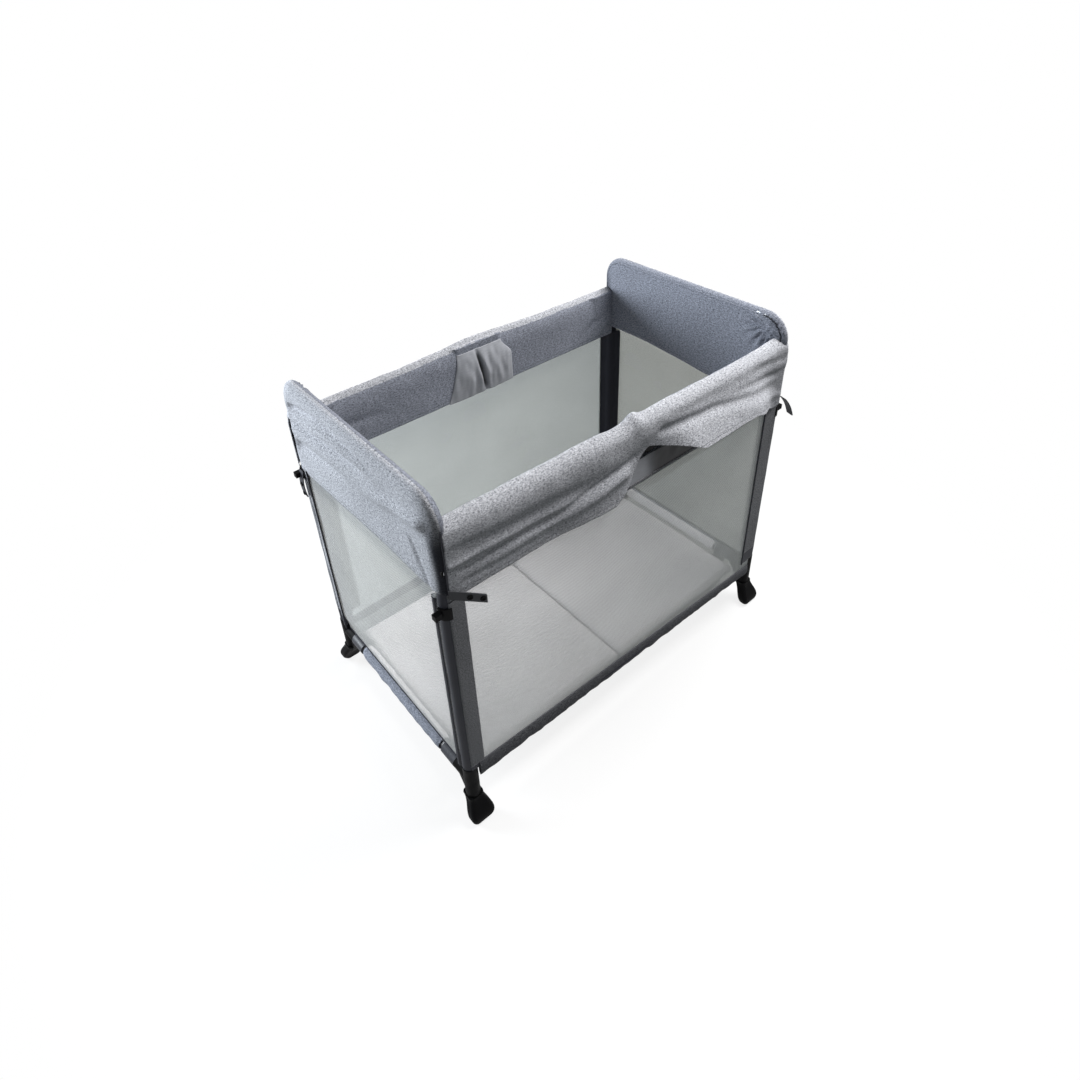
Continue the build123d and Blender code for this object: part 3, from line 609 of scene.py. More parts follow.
def crease(u, v, lines):
    """Height of creased cloth at a place; each line is (points, width, height) and fades towards its end."""
    total = 0.0
    here = Vector((u, v))
    for points, width, height in lines:
        nearest, share = math.inf, 0.0
        steps = len(points) - 1
        for index in range(steps):
            start, stop = Vector(points[index]), Vector(points[index + 1])
            run = stop - start
            along = max(0.0, min(1.0, (here - start).dot(run) / run.length_squared))
            gap = (here - start - run * along).length
            if gap < nearest:
                nearest, share = gap, (index + along) / steps
        total += height * math.exp(-((nearest / width) ** 2)) * (1 - share**2)
    return total


# Creases of the left panel's outer face as the photograph shows them: (y, z) points, width and height
LEFT_CREASES = [
    ([(0.275, 0.790), (0.14, 0.822), (0.03, 0.829), (-0.035, 0.825), (-0.14, 0.812)], 0.008, -0.010),
    ([(0.265, 0.776), (0.078, 0.806), (-0.038, 0.812), (-0.146, 0.806)], 0.010, 0.009),
    ([(0.275, 0.760), (0.155, 0.772), (0.025, 0.788), (-0.08, 0.802)], 0.007, -0.010),
    ([(0.24, 0.745), (-0.021, 0.762), (-0.164, 0.785)], 0.018, 0.007),
    ([(0.27, 0.703), (0.135, 0.720), (0.03, 0.735)], 0.011, -0.009),
    ([(-0.262, 0.805), (-0.139, 0.780), (0.0, 0.735)], 0.014, 0.008),
    ([(-0.20, 0.74), (-0.235, 0.68), (-0.25, 0.64)], 0.006, -0.004),
]
# Creases of the front skirt: (x, z) points
FRONT_CREASES = [
    ([(-0.45, 0.748), (-0.337, 0.738), (-0.236, 0.734), (-0.139, 0.727), (0.05, 0.733)], 0.012, -0.006),
    ([(-0.02, 0.728), (-0.139, 0.714), (-0.28, 0.690)], 0.006, -0.006),
    ([(-0.455, 0.704), (-0.312, 0.700), (-0.14, 0.690)], 0.007, -0.006),
    ([(-0.05, 0.706), (-0.132, 0.692), (-0.238, 0.688), (-0.34, 0.684), (-0.455, 0.68)], 0.012, 0.006),
    ([(-0.455, 0.722), (-0.30, 0.716), (-0.10, 0.706)], 0.006, 0.004),
    ([(-0.455, 0.672), (-0.33, 0.668), (-0.18, 0.655)], 0.007, -0.003),
    ([(0.05, 0.757), (0.193, 0.748), (0.373, 0.722), (0.46, 0.695)], 0.009, -0.006),
    ([(0.46, 0.668), (0.373, 0.700), (0.25, 0.722)], 0.010, 0.003),
    ([(0.46, 0.730), (0.38, 0.745), (0.25, 0.758)], 0.007, -0.004),
    ([(0.46, 0.765), (0.40, 0.772), (0.30, 0.778)], 0.009, -0.003),
]
# Creases of the back rail's inner face: (x, z) points
BACK_CREASES = [
    ([(-0.44, 0.72), (-0.36, 0.70), (-0.25, 0.69)], 0.010, -0.004),
    ([(0.44, 0.745), (0.40, 0.71), (0.33, 0.66)], 0.010, -0.005),
    ([(0.44, 0.70), (0.41, 0.67), (0.38, 0.645)], 0.008, 0.003),
]


def panel_width(z, sizes):
    """Half width of an end panel at a height, with its round top corners."""
    corner = sizes.panel_corner
    over = max(0.0, z - TOP_Z + corner)
    return LEG_Y + sizes.panel_roll - corner + math.sqrt(max(corner**2 - over**2, 0.0))


def panel_edge(y, z, sizes):
    """Distance of a place on an end panel from the panel's outline, apart from its open bottom."""
    half = LEG_Y + sizes.panel_roll
    corner = sizes.panel_corner
    if z > TOP_Z - corner and abs(y) > half - corner:
        return corner - math.hypot(abs(y) - half + corner, z - TOP_Z + corner)
    return min(half - abs(y), TOP_Z - z)


def panel_thick(inward, sizes):
    """Half thickness of an end panel at a distance from its outline: oval there, and flat further in."""
    share = 1 - max(0.0, min(1.0, inward / sizes.panel_edge))
    return sizes.panel_roll * math.sqrt(1 - share**2)


def panel_low(name, y, sizes):
    """Height of an end panel's hem, which rises towards its plain corner."""
    return HEM_Z + PANEL_GAP + sizes.panel_lift * ramp(y * SIDES[name], *LIFT_STRETCH)


def bent(depth, sizes):
    """How much further than a straight line the cloth runs from a place on a panel's edge to its flank."""
    share = max(0.0, min(1.0, depth / sizes.panel_edge))
    return sizes.panel_roll * (math.pi / 2 - 1 - math.acos(1 - share) + share)


def panel_place(name, layer, y, z, sizes):
    """A place on one layer of an end panel; the layer is 1 outside and -1 inside."""
    roll = sizes.panel_roll
    inward = max(0.0, panel_edge(y, z, sizes))
    thick = panel_thick(inward, sizes)
    calm = min(1.0, inward / (2 * roll))
    low = (TOP_Z - z) / (TOP_Z - HEM_Z)
    middle = math.cos(math.pi * y / (2 * LEG_Y + 4 * roll)) * math.sin(math.pi * low) ** 2
    thick -= sizes.panel_sink * calm * middle
    seed = 2.0 * SIDES[name] + layer
    thick += calm * (uneven(y, z, seed, *PANEL_WAVES) + uneven(y, z, seed + 5, *PANEL_LUMPS))
    if name == "left" and layer == 1:
        thick += ramp(inward, roll, 2.6 * roll) * crease(y, z, LEFT_CREASES)
    if layer == -1:
        gather = Vector((y * SIDES[name] + LEG_Y - GATHER_AT, z - TOP_Z + GATHER_AT))
        spokes = math.cos(GATHER_COUNT * math.atan2(gather.y, gather.x))
        ring = math.exp(-(((gather.length - GATHER_AT) / GATHER_SIZE) ** 2))
        thick += GATHER_HEIGHT * calm * spokes * ring
        thick -= SEAM_GROOVE * math.exp(-(((inward - sizes.seam_drop) / SEAM_GROOVE_WIDTH) ** 2))
    return Vector((SIDES[name] * (LEG_X + layer * thick), y, z))


class COT_OT_end_panels(bpy.types.Operator):
    """Canvas pockets over the two hoops, with their overlocked seams"""

    bl_idname = "cot.end_panels"
    bl_label = "End panels"

    def execute(self, context):
        sizes = context.scene.cot_sizes
        made = finishes(context)
        half = LEG_Y + sizes.panel_roll
        height = TOP_Z - HEM_Z
        for name, side in SIDES.items():

            def flat(across, up):
                layer = 1 if up <= 0.5 else -1
                rise = 1 - (1 - min(up, 1 - up) * 2) ** 1.7
                z = HEM_Z + height * rise
                for step in range(3):
                    y = (2 * eased(across, 0.75) - 1) * panel_width(z, sizes)
                    low = panel_low(name, y, sizes)
                    z = low + (TOP_Z - low) * rise
                return layer, y, z

            def place(across, up):
                return panel_place(name, *flat(across, up), sizes)

            def cut(across, up):
                layer, y, z = flat(across, up)
                beside = abs(y) + bent(panel_width(z, sizes) - abs(y), sizes)
                above = bent(TOP_Z - z, sizes)
                return 2 * half + math.copysign(beside, y), z - panel_low(name, y, sizes) + above

            bm = lay_sheet(110, 120, place, cut)
            weld(bm)
            turn_out(bm, lambda at: Vector((at.x - side * LEG_X, 0, 0)))
            # Outer faces take the canvas, inner faces its darker copy as painted shade
            for face in bm.faces:
                face.material_index = 0 if (face.calc_center_median().x - side * LEG_X) * side > 0 else 1
            # Painted shade: near the plain corner the rounded edge turns away from the light, so its canvas
            # is mixed towards navy, widest high up and fading out at the top
            edge = bm.verts.layers.float.new("edge")
            for vert in bm.verts:
                near = ramp(vert.co.y * side, half - PAINTED_SHADE_NEAR[0], half - PAINTED_SHADE_NEAR[1])
                below = ramp(TOP_Z - vert.co.z, *PAINTED_SHADE_BELOW)
                shade = sizes.panel_painted_shade * (1 + 0.7 * ramp(vert.co.z, HEM_Z + 0.05, TOP_Z - 0.06))
                inward = panel_edge(vert.co.y, vert.co.z, sizes)
                vert[edge] = near * below * (1 - ramp(inward, 0.3 * shade, shade)) * 0.95
            cloths = [made["canvas"], made["inner"]]
            panel = make_piece(context, f"{name}_end_panel", bm, cloths, 0, sizes.cloth)
            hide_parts(f"{name}_end_cover")
            extras = [self.top_seam(context, name, sizes, made), self.corner_seam(context, name, sizes, made)]
            for piece in (panel, *extras):
                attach(piece, f"{name}_end")
        return {"FINISHED"}

    def top_seam(self, context, name, sizes, made):
        """Lumpy overlocked seam that follows the panel's outline a little below its top, on the inside."""
        half = LEG_Y + sizes.panel_roll - sizes.seam_drop
        corner = sizes.panel_corner - sizes.seam_drop
        top = TOP_Z - sizes.seam_drop
        upright = SEAM_UPRIGHT
        arc = corner * math.pi / 2
        total = 2 * (upright + arc + half - corner)

        def outline(run):
            if run < upright:
                return -half, top - corner - upright + run
            if run < upright + arc:
                turn = (run - upright) / corner
                return -half + corner * (1 - math.cos(turn)), top - corner * (1 - math.sin(turn))
            if run <= total / 2:
                return -half + corner + run - upright - arc, top
            y, z = outline(total - run)
            return -y, z

        def path(along):
            run = along * total
            y, z = outline(run)
            near = math.exp(-((min(run, total - run) / 0.12) ** 2))
            wander = uneven(run, 0, 3.0, 0.011, 1.0 * MM + 2.5 * MM * near)
            return panel_place(name, -1, y, z + wander, sizes) - ALONG * SIDES[name] * 0.6 * MM

        def radius(along):
            return SEAM_CORD + uneven(along * total, 0, 8.0, *SEAM_LUMPS)

        bm = lay_cord(420, path, radius, ALONG)
        # The seam takes the darker inner canvas, a painted shade
        for part in bm.faces:
            part.material_index = int(-part.calc_center_median().y * SIDES[name] > half - corner)
        return make_piece(context, f"{name}_top_seam", bm, [made["inner"], made["navy"]], 0)

    def corner_seam(self, context, name, sizes, made):
        """Dark piping down the plain corner, where the panel is sewn to the rail's canvas."""
        side = SIDES[name]
        top = TOP_Z - sizes.panel_corner

        def path(along):
            low = panel_low(name, side * LEG_Y, sizes)
            z = low + (top - low) * along
            y = side * (LEG_Y + sizes.panel_roll + CORNER_OUT)
            return Vector((side * (LEG_X + 1.5 * MM + uneven(z, 0, 5.0, 0.03, 1.2 * MM)), y, z))

        bm = lay_cord(60, path, lambda along: CORNER_CORD, ALONG)
        return make_piece(context, f"{name}_corner_seam", bm, [made["navy"]], 0)


class COT_OT_leg_sleeves(bpy.types.Operator):
    """Sleeves round the four legs: canvas outside, navy nylon inside, with a flange along each net"""

    bl_idname = "cot.leg_sleeves"
    bl_label = "Leg sleeves"

    def execute(self, context):
        sizes = context.scene.cot_sizes
        made = finishes(context)
        low = FOOT_TOP - 1 * MM
        long = SLEEVE_TOP - low
        radius = LEG_RADIUS + sizes.leg_slack
        for name, side, face_name, face, plain in corners():
            label = f"{name}_{face_name}"
            reach = sizes.flange if plain else sizes.wrap_flange
            inset = PLAIN_END_FLANGE if plain else sizes.end_flange
            cuff = low + (sizes.cuff if plain else sizes.wrap_cuff)
            centre = Vector((side * LEG_X, face * LEG_Y, 0))

            def tube(along, round_it):
                z = low + (long + SLEEVE_TUCK) * along
                angle = math.tau * round_it
                hem = panel_low(name, face * LEG_Y, sizes)
                tucked = ramp(z, hem - TUCK_START, hem - TUCK_END)
                r = radius - TUCK_DEPTH * tucked
                r += uneven(z, angle * radius, side + 3 * face, *SLEEVE_LUMPS) * (1 - tucked)
                return centre + Vector((r * math.cos(angle), r * math.sin(angle), z))

            def side_strip(along, across):
                z = low + long * along
                inward = across * (reach + STRIP_LAP) - STRIP_LAP
                out = math.sqrt(radius**2 - inward**2) if inward < 0 else radius
                out += STRIP_GAP + uneven(z, inward, 4.0, *SIDE_STRIP_LUMPS)
                return Vector((side * (LEG_X - inward), face * (LEG_Y + out), z))

            def end_strip(along, across):
                z = low + long * along
                start = math.sqrt(radius**2 - STRIP_START**2) + STRIP_GAP
                out = start + (NET_OUT + STRIP_OVER_NET - start) * ramp(across, 0.0, 0.5)
                out += uneven(z, across, 6.0, *END_STRIP_LUMPS)
                return Vector((side * (LEG_X + out), face * (LEG_Y - STRIP_START - across * inset), z))

            def inner_strip(along, across):
                z = low + long * along
                turn = 2 * across - 1
                bend = radius + INNER_GAP
                quarter = math.radians(45)
                if abs(turn) < 0.4:
                    angle = quarter + quarter * turn / 0.4
                    x, y = bend * math.cos(angle), bend * math.sin(angle)
                else:
                    share = (abs(turn) - 0.4) / 0.6
                    x, y = -share * (NET_OUT - INNER_BEHIND_NET), bend + share * INNER_RISE
                    if turn < 0:
                        x, y = y, x
                return Vector((side * (LEG_X - x), face * (LEG_Y - y), z))

            def grain(along, across):
                return across * 0.09, 0.02 + along * long

            bm = lay_sheet(60, 40, tube, grain)
            weld(bm)
            bmesh.ops.recalc_face_normals(bm, faces=bm.faces[:])
            for part in bm.faces:
                at = part.calc_center_median() - centre
                around = math.degrees(math.atan2(at.x * side, at.y * face))
                grey = -40 < around < (16 if plain else 175)
                part.material_index = 0 if grey and at.z > cuff else 1
            cloths = [made["sleeve"], made["navy"], made["navy"]]
            sleeve = make_piece(context, f"{label}_leg_sleeve", bm, cloths, 1, sizes.cloth)
            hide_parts(f"{name}_frame_sleeves")
            pieces = [sleeve]
            outwards = Vector((side, 0, 0))
            along_side = Vector((0, face, 0))
            for word, place, wide, finish, way in (
                ("side", side_strip, reach + STRIP_SEAM, "sleeve", along_side),
                ("end", end_strip, inset, "navy" if plain else "sleeve", outwards),
                ("inner", inner_strip, INNER_STRIP, "navy", -outwards - along_side),
            ):
                bm = lay_sheet(40, 16, place, grain)
                turn_out(bm, lambda at: way)
                for part in bm.faces:
                    part.material_index = int(part.calc_center_median().z < cuff)
                cloths = [made[finish], made["navy"]]
                strip = make_piece(context, f"{label}_{word}_flange", bm, cloths, 1, sizes.cloth, 1)
                pieces.append(strip)
            thick = sizes.piping / 2

            def side_piping(along):
                out = NET_OUT + PIPING_OUT
                return Vector((side * (LEG_X - reach - thick), face * (LEG_Y + out), low + long * along))

            def end_piping(along):
                y = LEG_Y - STRIP_START - inset - thick
                return Vector((side * (LEG_X + NET_OUT + PIPING_OUT), face * y, low + long * along))

            for word, path in (() if plain else (("side", side_piping), ("end", end_piping))):
                bm = lay_cord(40, path, lambda along: thick, ALONG)
                pieces.append(make_piece(context, f"{label}_{word}_piping", bm, [made["navy"]], 0))
            for piece in pieces:
                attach(piece, f"{name}_end")
        return {"FINISHED"}


class COT_OT_bar_sleeves(bpy.types.Operator):
    """Loose canvas sleeves round the bottom bars"""

    bl_idname = "cot.bar_sleeves"
    bl_label = "Bar sleeves"

    def execute(self, context):
        sizes = context.scene.cot_sizes
        made = finishes(context)
        half = PIVOT_HIGH.y - PIVOT_LENGTH
        girth = math.tau * (LEG_RADIUS + sizes.bar_slack)
        for name, side in SIDES.items():

            def place(along, round_it):
                y = half * (2 * along - 1)
                angle = math.tau * round_it
                loose = min(1.0, (1 - abs(2 * along - 1)) * 14)
                r = LEG_RADIUS + sizes.bar_slack * (0.7 + 0.3 * loose)
                r += loose * uneven(y, 0, side, *BAR_WAVES) * (1 - math.sin(angle)) / 2
                r += uneven(y, angle * r, side + 3, *BAR_LUMPS)
                return Vector((side * LEG_X + r * math.cos(angle), y, BAR_Z + r * math.sin(angle)))

            bm = lay_sheet(110, 32, place, plain_cut(2 * half, girth))
            weld(bm)
            bmesh.ops.recalc_face_normals(bm, faces=bm.faces[:])
            # Painted shade and light: the outer side takes the darker inner canvas, and the side towards the
            # middle takes the pale mattress cloth, which brightens it where it lies in shade
            for part in bm.faces:
                outer = (part.calc_center_median().x - side * LEG_X) * side
                part.material_index = int(outer < -0.2 * LEG_RADIUS)
            cloths = [made["inner"], made["mattress"]]
            sleeve = make_piece(context, f"{name}_bar_sleeve", bm, cloths, 1, sizes.cloth)
            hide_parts(f"{name}_frame_sleeves")
            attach(sleeve, f"{name}_end")
        return {"FINISHED"}


def hem_line(face, x, sizes):
    """Height of the middle of the hem under a side net, which sags towards the wrapped end."""
    return SIDE_HEM_HIGH.z - sizes.hem_drop + sizes.hem_sag * face * x / LEG_X


class COT_OT_nets(bpy.types.Operator):
    """Net walls of the two ends and the two sides, bound with tape"""

    bl_idname = "cot.nets"
    bl_label = "Nets"

    def execute(self, context):
        for name, side in SIDES.items():
            self.wall(context, f"{name}_end", f"{name}_end_mesh", (side, 0), LEG_Y - NET_EDGE)
        for name, face in FACES.items():
            self.wall(context, f"{name}_side", f"{name}_mesh", (0, face), LEG_X - NET_EDGE)
        return {"FINISHED"}

    def wall(self, context, name, node, way, half):
        """One net, bellied a little, with binding along its bottom and top."""
        sizes = context.scene.cot_sizes
        made = finishes(context)
        side, face = way
        high = HEM_Z + (sizes.end_net_top if side else sizes.net_top)
        low = BAR_Z + END_NET_LIFT if side else SIDE_HEM_HIGH.z - sizes.hem_drop + NET_SEWN
        tall = high - low

        def at(along, up, lift):
            rise = low + tall * up
            narrow = NET_NARROW * (1 - ramp(rise, FOOT_TOP, FOOT_TOP + NARROW_HEIGHT)) * abs(side)
            run = (half - narrow) * (2 * along - 1)
            slack = sizes.net_slack * math.sin(math.pi * along) * math.sin(math.pi * up)
            slack += math.sin(math.pi * up) * uneven(run, rise, 3.0 + side + 2 * face, *NET_WAVES)
            if side:
                drawn_in = NET_DRAWN * (1 - ramp(rise, low, low + DRAWN_HEIGHT))
                drawn_in += NET_TUCK * ramp(rise, HEM_Z - NET_TUCK_LOW, HEM_Z + NET_TUCK_HIGH)
                return Vector((side * (LEG_X + NET_OUT - NET_BEHIND + slack + lift - drawn_in), run, rise))
            sag = (hem_line(face, run, sizes) - hem_line(face, 0, sizes)) * (1 - up)
            return Vector((run, face * (LEG_Y + NET_OUT - NET_BEHIND + slack + lift), rise + sag))

        def bottom_tape(along, up):
            return at(along, sizes.binding / tall * (up - 0.2), TAPE_LIFT)

        def top_tape(along, up):
            return at(along, 1 - sizes.binding / tall * up, TAPE_LIFT)

        outwards = Vector((side, face, 0))
        bm = lay_sheet(60, 40, lambda along, up: at(along, up, 0.0), plain_cut(2 * half, tall))
        turn_out(bm, lambda place: outwards)
        cloth = make_piece(context, f"{name}_net", bm, [made["net"], made["net inside"]], 0, NET_THREAD, 1)
        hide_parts(node)
        tapes = []
        for word, place, finish in (("bottom", bottom_tape, "navy"), ("top", top_tape, "sleeve")):
            bm = lay_sheet(60, 4, place, plain_cut(2 * half, sizes.binding))
            turn_out(bm, lambda place: outwards)
            tapes.append(make_piece(context, f"{name}_{word}_binding", bm, [made[finish]], 0, TAPE))
        for piece in (cloth, *tapes):
            if side:
                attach(piece, name)
            else:
                close_with_sides(piece)


# The slit over the front hinge: its top, and where its two lips reach the hem
SLIT_TOP = Vector((0.014, 0.738))
SLIT_LEFT = -0.085
SLIT_RIGHT = 0.148
# The canvas over a rail from its outer hem over its ridge to its inner hem. Each row is a share of the height
# from hem to ridge, then how far out of the rail's middle the canvas lies, in millimetres, where the front
# skirt hangs plain, where it stands out as a loose flap, and on the back rail
RAIL_PROFILE = [
    (0.00, 17.5, 62.0, 17.5),
    (0.18, 16.5, 52.0, 17.0),
    (0.36, 16.5, 41.0, 17.0),
    (0.55, 19.0, 29.0, 17.5),
    (0.72, 21.0, 22.0, 17.0),
    (0.88, 17.0, 16.5, 13.0),
    (0.97, 7.0, 6.0, 7.0),
    (1.00, -6.0, -8.0, 1.0),
    (0.96, -14.0, -15.0, -6.0),
    (0.86, -18.0, -18.0, -12.5),
    (0.70, -18.5, -18.5, -16.0),
    (0.46, -17.5, -17.5, -16.5),
    (0.22, -16.5, -16.5, -16.5),
    (0.00, -16.5, -16.5, -16.5),
]
RIDGE = 7 / (len(RAIL_PROFILE) - 1)
# Height of the front skirt's hem over the panels' lowest hem, as (x, height)
FRONT_HEM = [
    (-0.48, 0.014),
    (-0.085, 0.014),
    (0.13, 0.058),
    (0.31, 0.058),
    (0.36, 0.047),
    (0.45, 0.003),
    (0.49, 0.008),
]


def smooth_through(rows, share):
    """A smooth line through rows of values, at a share of the way along them."""
    steps = len(rows) - 1
    index = min(int(share * steps), steps - 1)
    t = share * steps - index
    near = [rows[max(0, min(steps, index + offset))] for offset in (-1, 0, 1, 2)]
    pulls = (
        (-t + 2 * t**2 - t**3) / 2,
        (2 - 5 * t**2 + 3 * t**3) / 2,
        (t + 4 * t**2 - 3 * t**3) / 2,
        (t**3 - t**2) / 2,
    )
    return [sum(pull * row[i] for pull, row in zip(pulls, near)) for i in range(len(rows[0]))]


def along_line(points, x):
    """Height of a line of points at a place along it, eased from point to point."""
    height = points[0][1]
    for (start, low), (stop, high) in zip(points, points[1:]):
        height += (high - low) * ramp(x, start, stop)
    return height


def rail_top(face, x, sizes):
    """Height of the canvas over a side rail; x runs from the plain end to the wrapped end."""
    if face < 0:
        bump = math.exp(-(((x - BUMP_AT) / BUMP_WIDTH) ** 2))
        bump -= 0.5 * math.exp(-(((x - HOLLOW_AT) / HOLLOW_WIDTH) ** 2))
        end = END_RISE * ramp(x, END_RISE_START, LEG_X)
        return sizes.front_top - RIDGE_SLOPE * x / LEG_X + sizes.hinge_bump * bump + end
    return sizes.back_top - sizes.back_dip * (1 - math.exp(-((x / BACK_RISE_WIDTH) ** 2)))


def rail_clearance(x, z):
    """How far out the canvas has to lie to clear the rail, its forks and its hinge at a height."""
    reach = math.sqrt(max(0.0, (RAIL_RADIUS + HARD_GAP) ** 2 - (z - RAIL_Z) ** 2))
    for low, high, near in (
        (FORK_LOW, FORK_HIGH, ramp(abs(x), -FORK_HIGH.x - FORK_APPROACH, -FORK_HIGH.x)),
        (HINGE_LOW, HINGE_HIGH, 1 - ramp(abs(x), HINGE_HIGH.x, HINGE_HIGH.x + HINGE_APPROACH)),
    ):
        beside = ramp(z, low.z - HARD_BELOW, low.z) * (1 - ramp(z, high.z, high.z + HARD_FADE))
        reach = max(reach, near * beside * ((high.y - low.y) / 2 + HARD_GAP))
    return reach


def rail_line(face, x, up, sizes):
    """The line of the canvas over a rail before it creases, as (out, z); up runs from outer to inner hem."""
    share, plain, loose, back = smooth_through(RAIL_PROFILE, up)
    low = HEM_Z + sizes.skirt_rise
    if face < 0 and up < RIDGE:
        low = HEM_Z + along_line(FRONT_HEM, x)
    flap = ramp(x, *FLAP_RISE) * (1 - ramp(x, *FLAP_FALL))
    flap += LIP_SHARE * ramp(x, *LIP_RISE) * (1 - ramp(x, *LIP_FALL))
    out = back if face > 0 else plain + (loose - plain) * flap
    return out * MM, low + (rail_top(face, x, sizes) - low) * share


def rail_up(face, x, z, outer, sizes):
    """How far along its line the canvas over a rail reaches a height, on its outer or its inner side."""
    low, high = (0.0 if outer else 1.0), RIDGE
    for step in range(16):
        middle = (low + high) / 2
        if rail_line(face, x, middle, sizes)[1] < z:
            low = middle
        else:
            high = middle
    return low


def rail_section(face, x, up, sizes):
    """Where the canvas over a rail lies, as (out, z), with its creases and clear of the rail."""
    out, z = rail_line(face, x, up, sizes)
    seed = 4.0 + face
    rough = uneven(x, up * 0.3, seed, *RAIL_WAVES) + uneven(x, up * 0.3, seed + 2, *RAIL_LUMPS)
    flank = ramp(abs(up - RIDGE), 0.04, 0.16)
    z += rough * (1 - flank)
    if up > RIDGE:
        rough += crease(-face * x, z, BACK_CREASES) if face > 0 else 0.0
        out -= rough * flank
        clear = rail_clearance(x, z)
        return (min(out, -clear) if clear else out), z
    rough += crease(x, z, FRONT_CREASES) if face < 0 else 0.0
    out += rough * flank
    held = ramp(abs(x), LEG_X - HELD_STRETCH[0], LEG_X - HELD_STRETCH[1])
    held *= 1 - ramp(up / RIDGE, 0.6, 0.85)
    out += max(0.0, sizes.panel_roll + HELD_GAP - out) * held
    net_edge = HEM_Z + sizes.net_top
    over_net = 1 - ramp(z, net_edge + OVER_NET[0], net_edge + OVER_NET[1])
    out += max(0.0, NET_OUT + HELD_GAP - out) * over_net
    clear = rail_clearance(x, z)
    return (max(out, clear) if clear else out), z


def rail_ends(face, up, sizes):
    """How far the canvas over a rail runs at its plain end and at its wrapped end."""
    roll = sizes.panel_roll
    out = rail_line(face, -LEG_X, up, sizes)[0] if up < RIDGE else 0.0
    plain = LEG_X - panel_thick(roll - max(out, 0.0), sizes) + PANEL_LAP
    round_corner = LEG_X + roll * math.pi / 2
    return plain, plain + (round_corner - plain) * (1 - ramp(up / RIDGE, 0.72, 1.0))


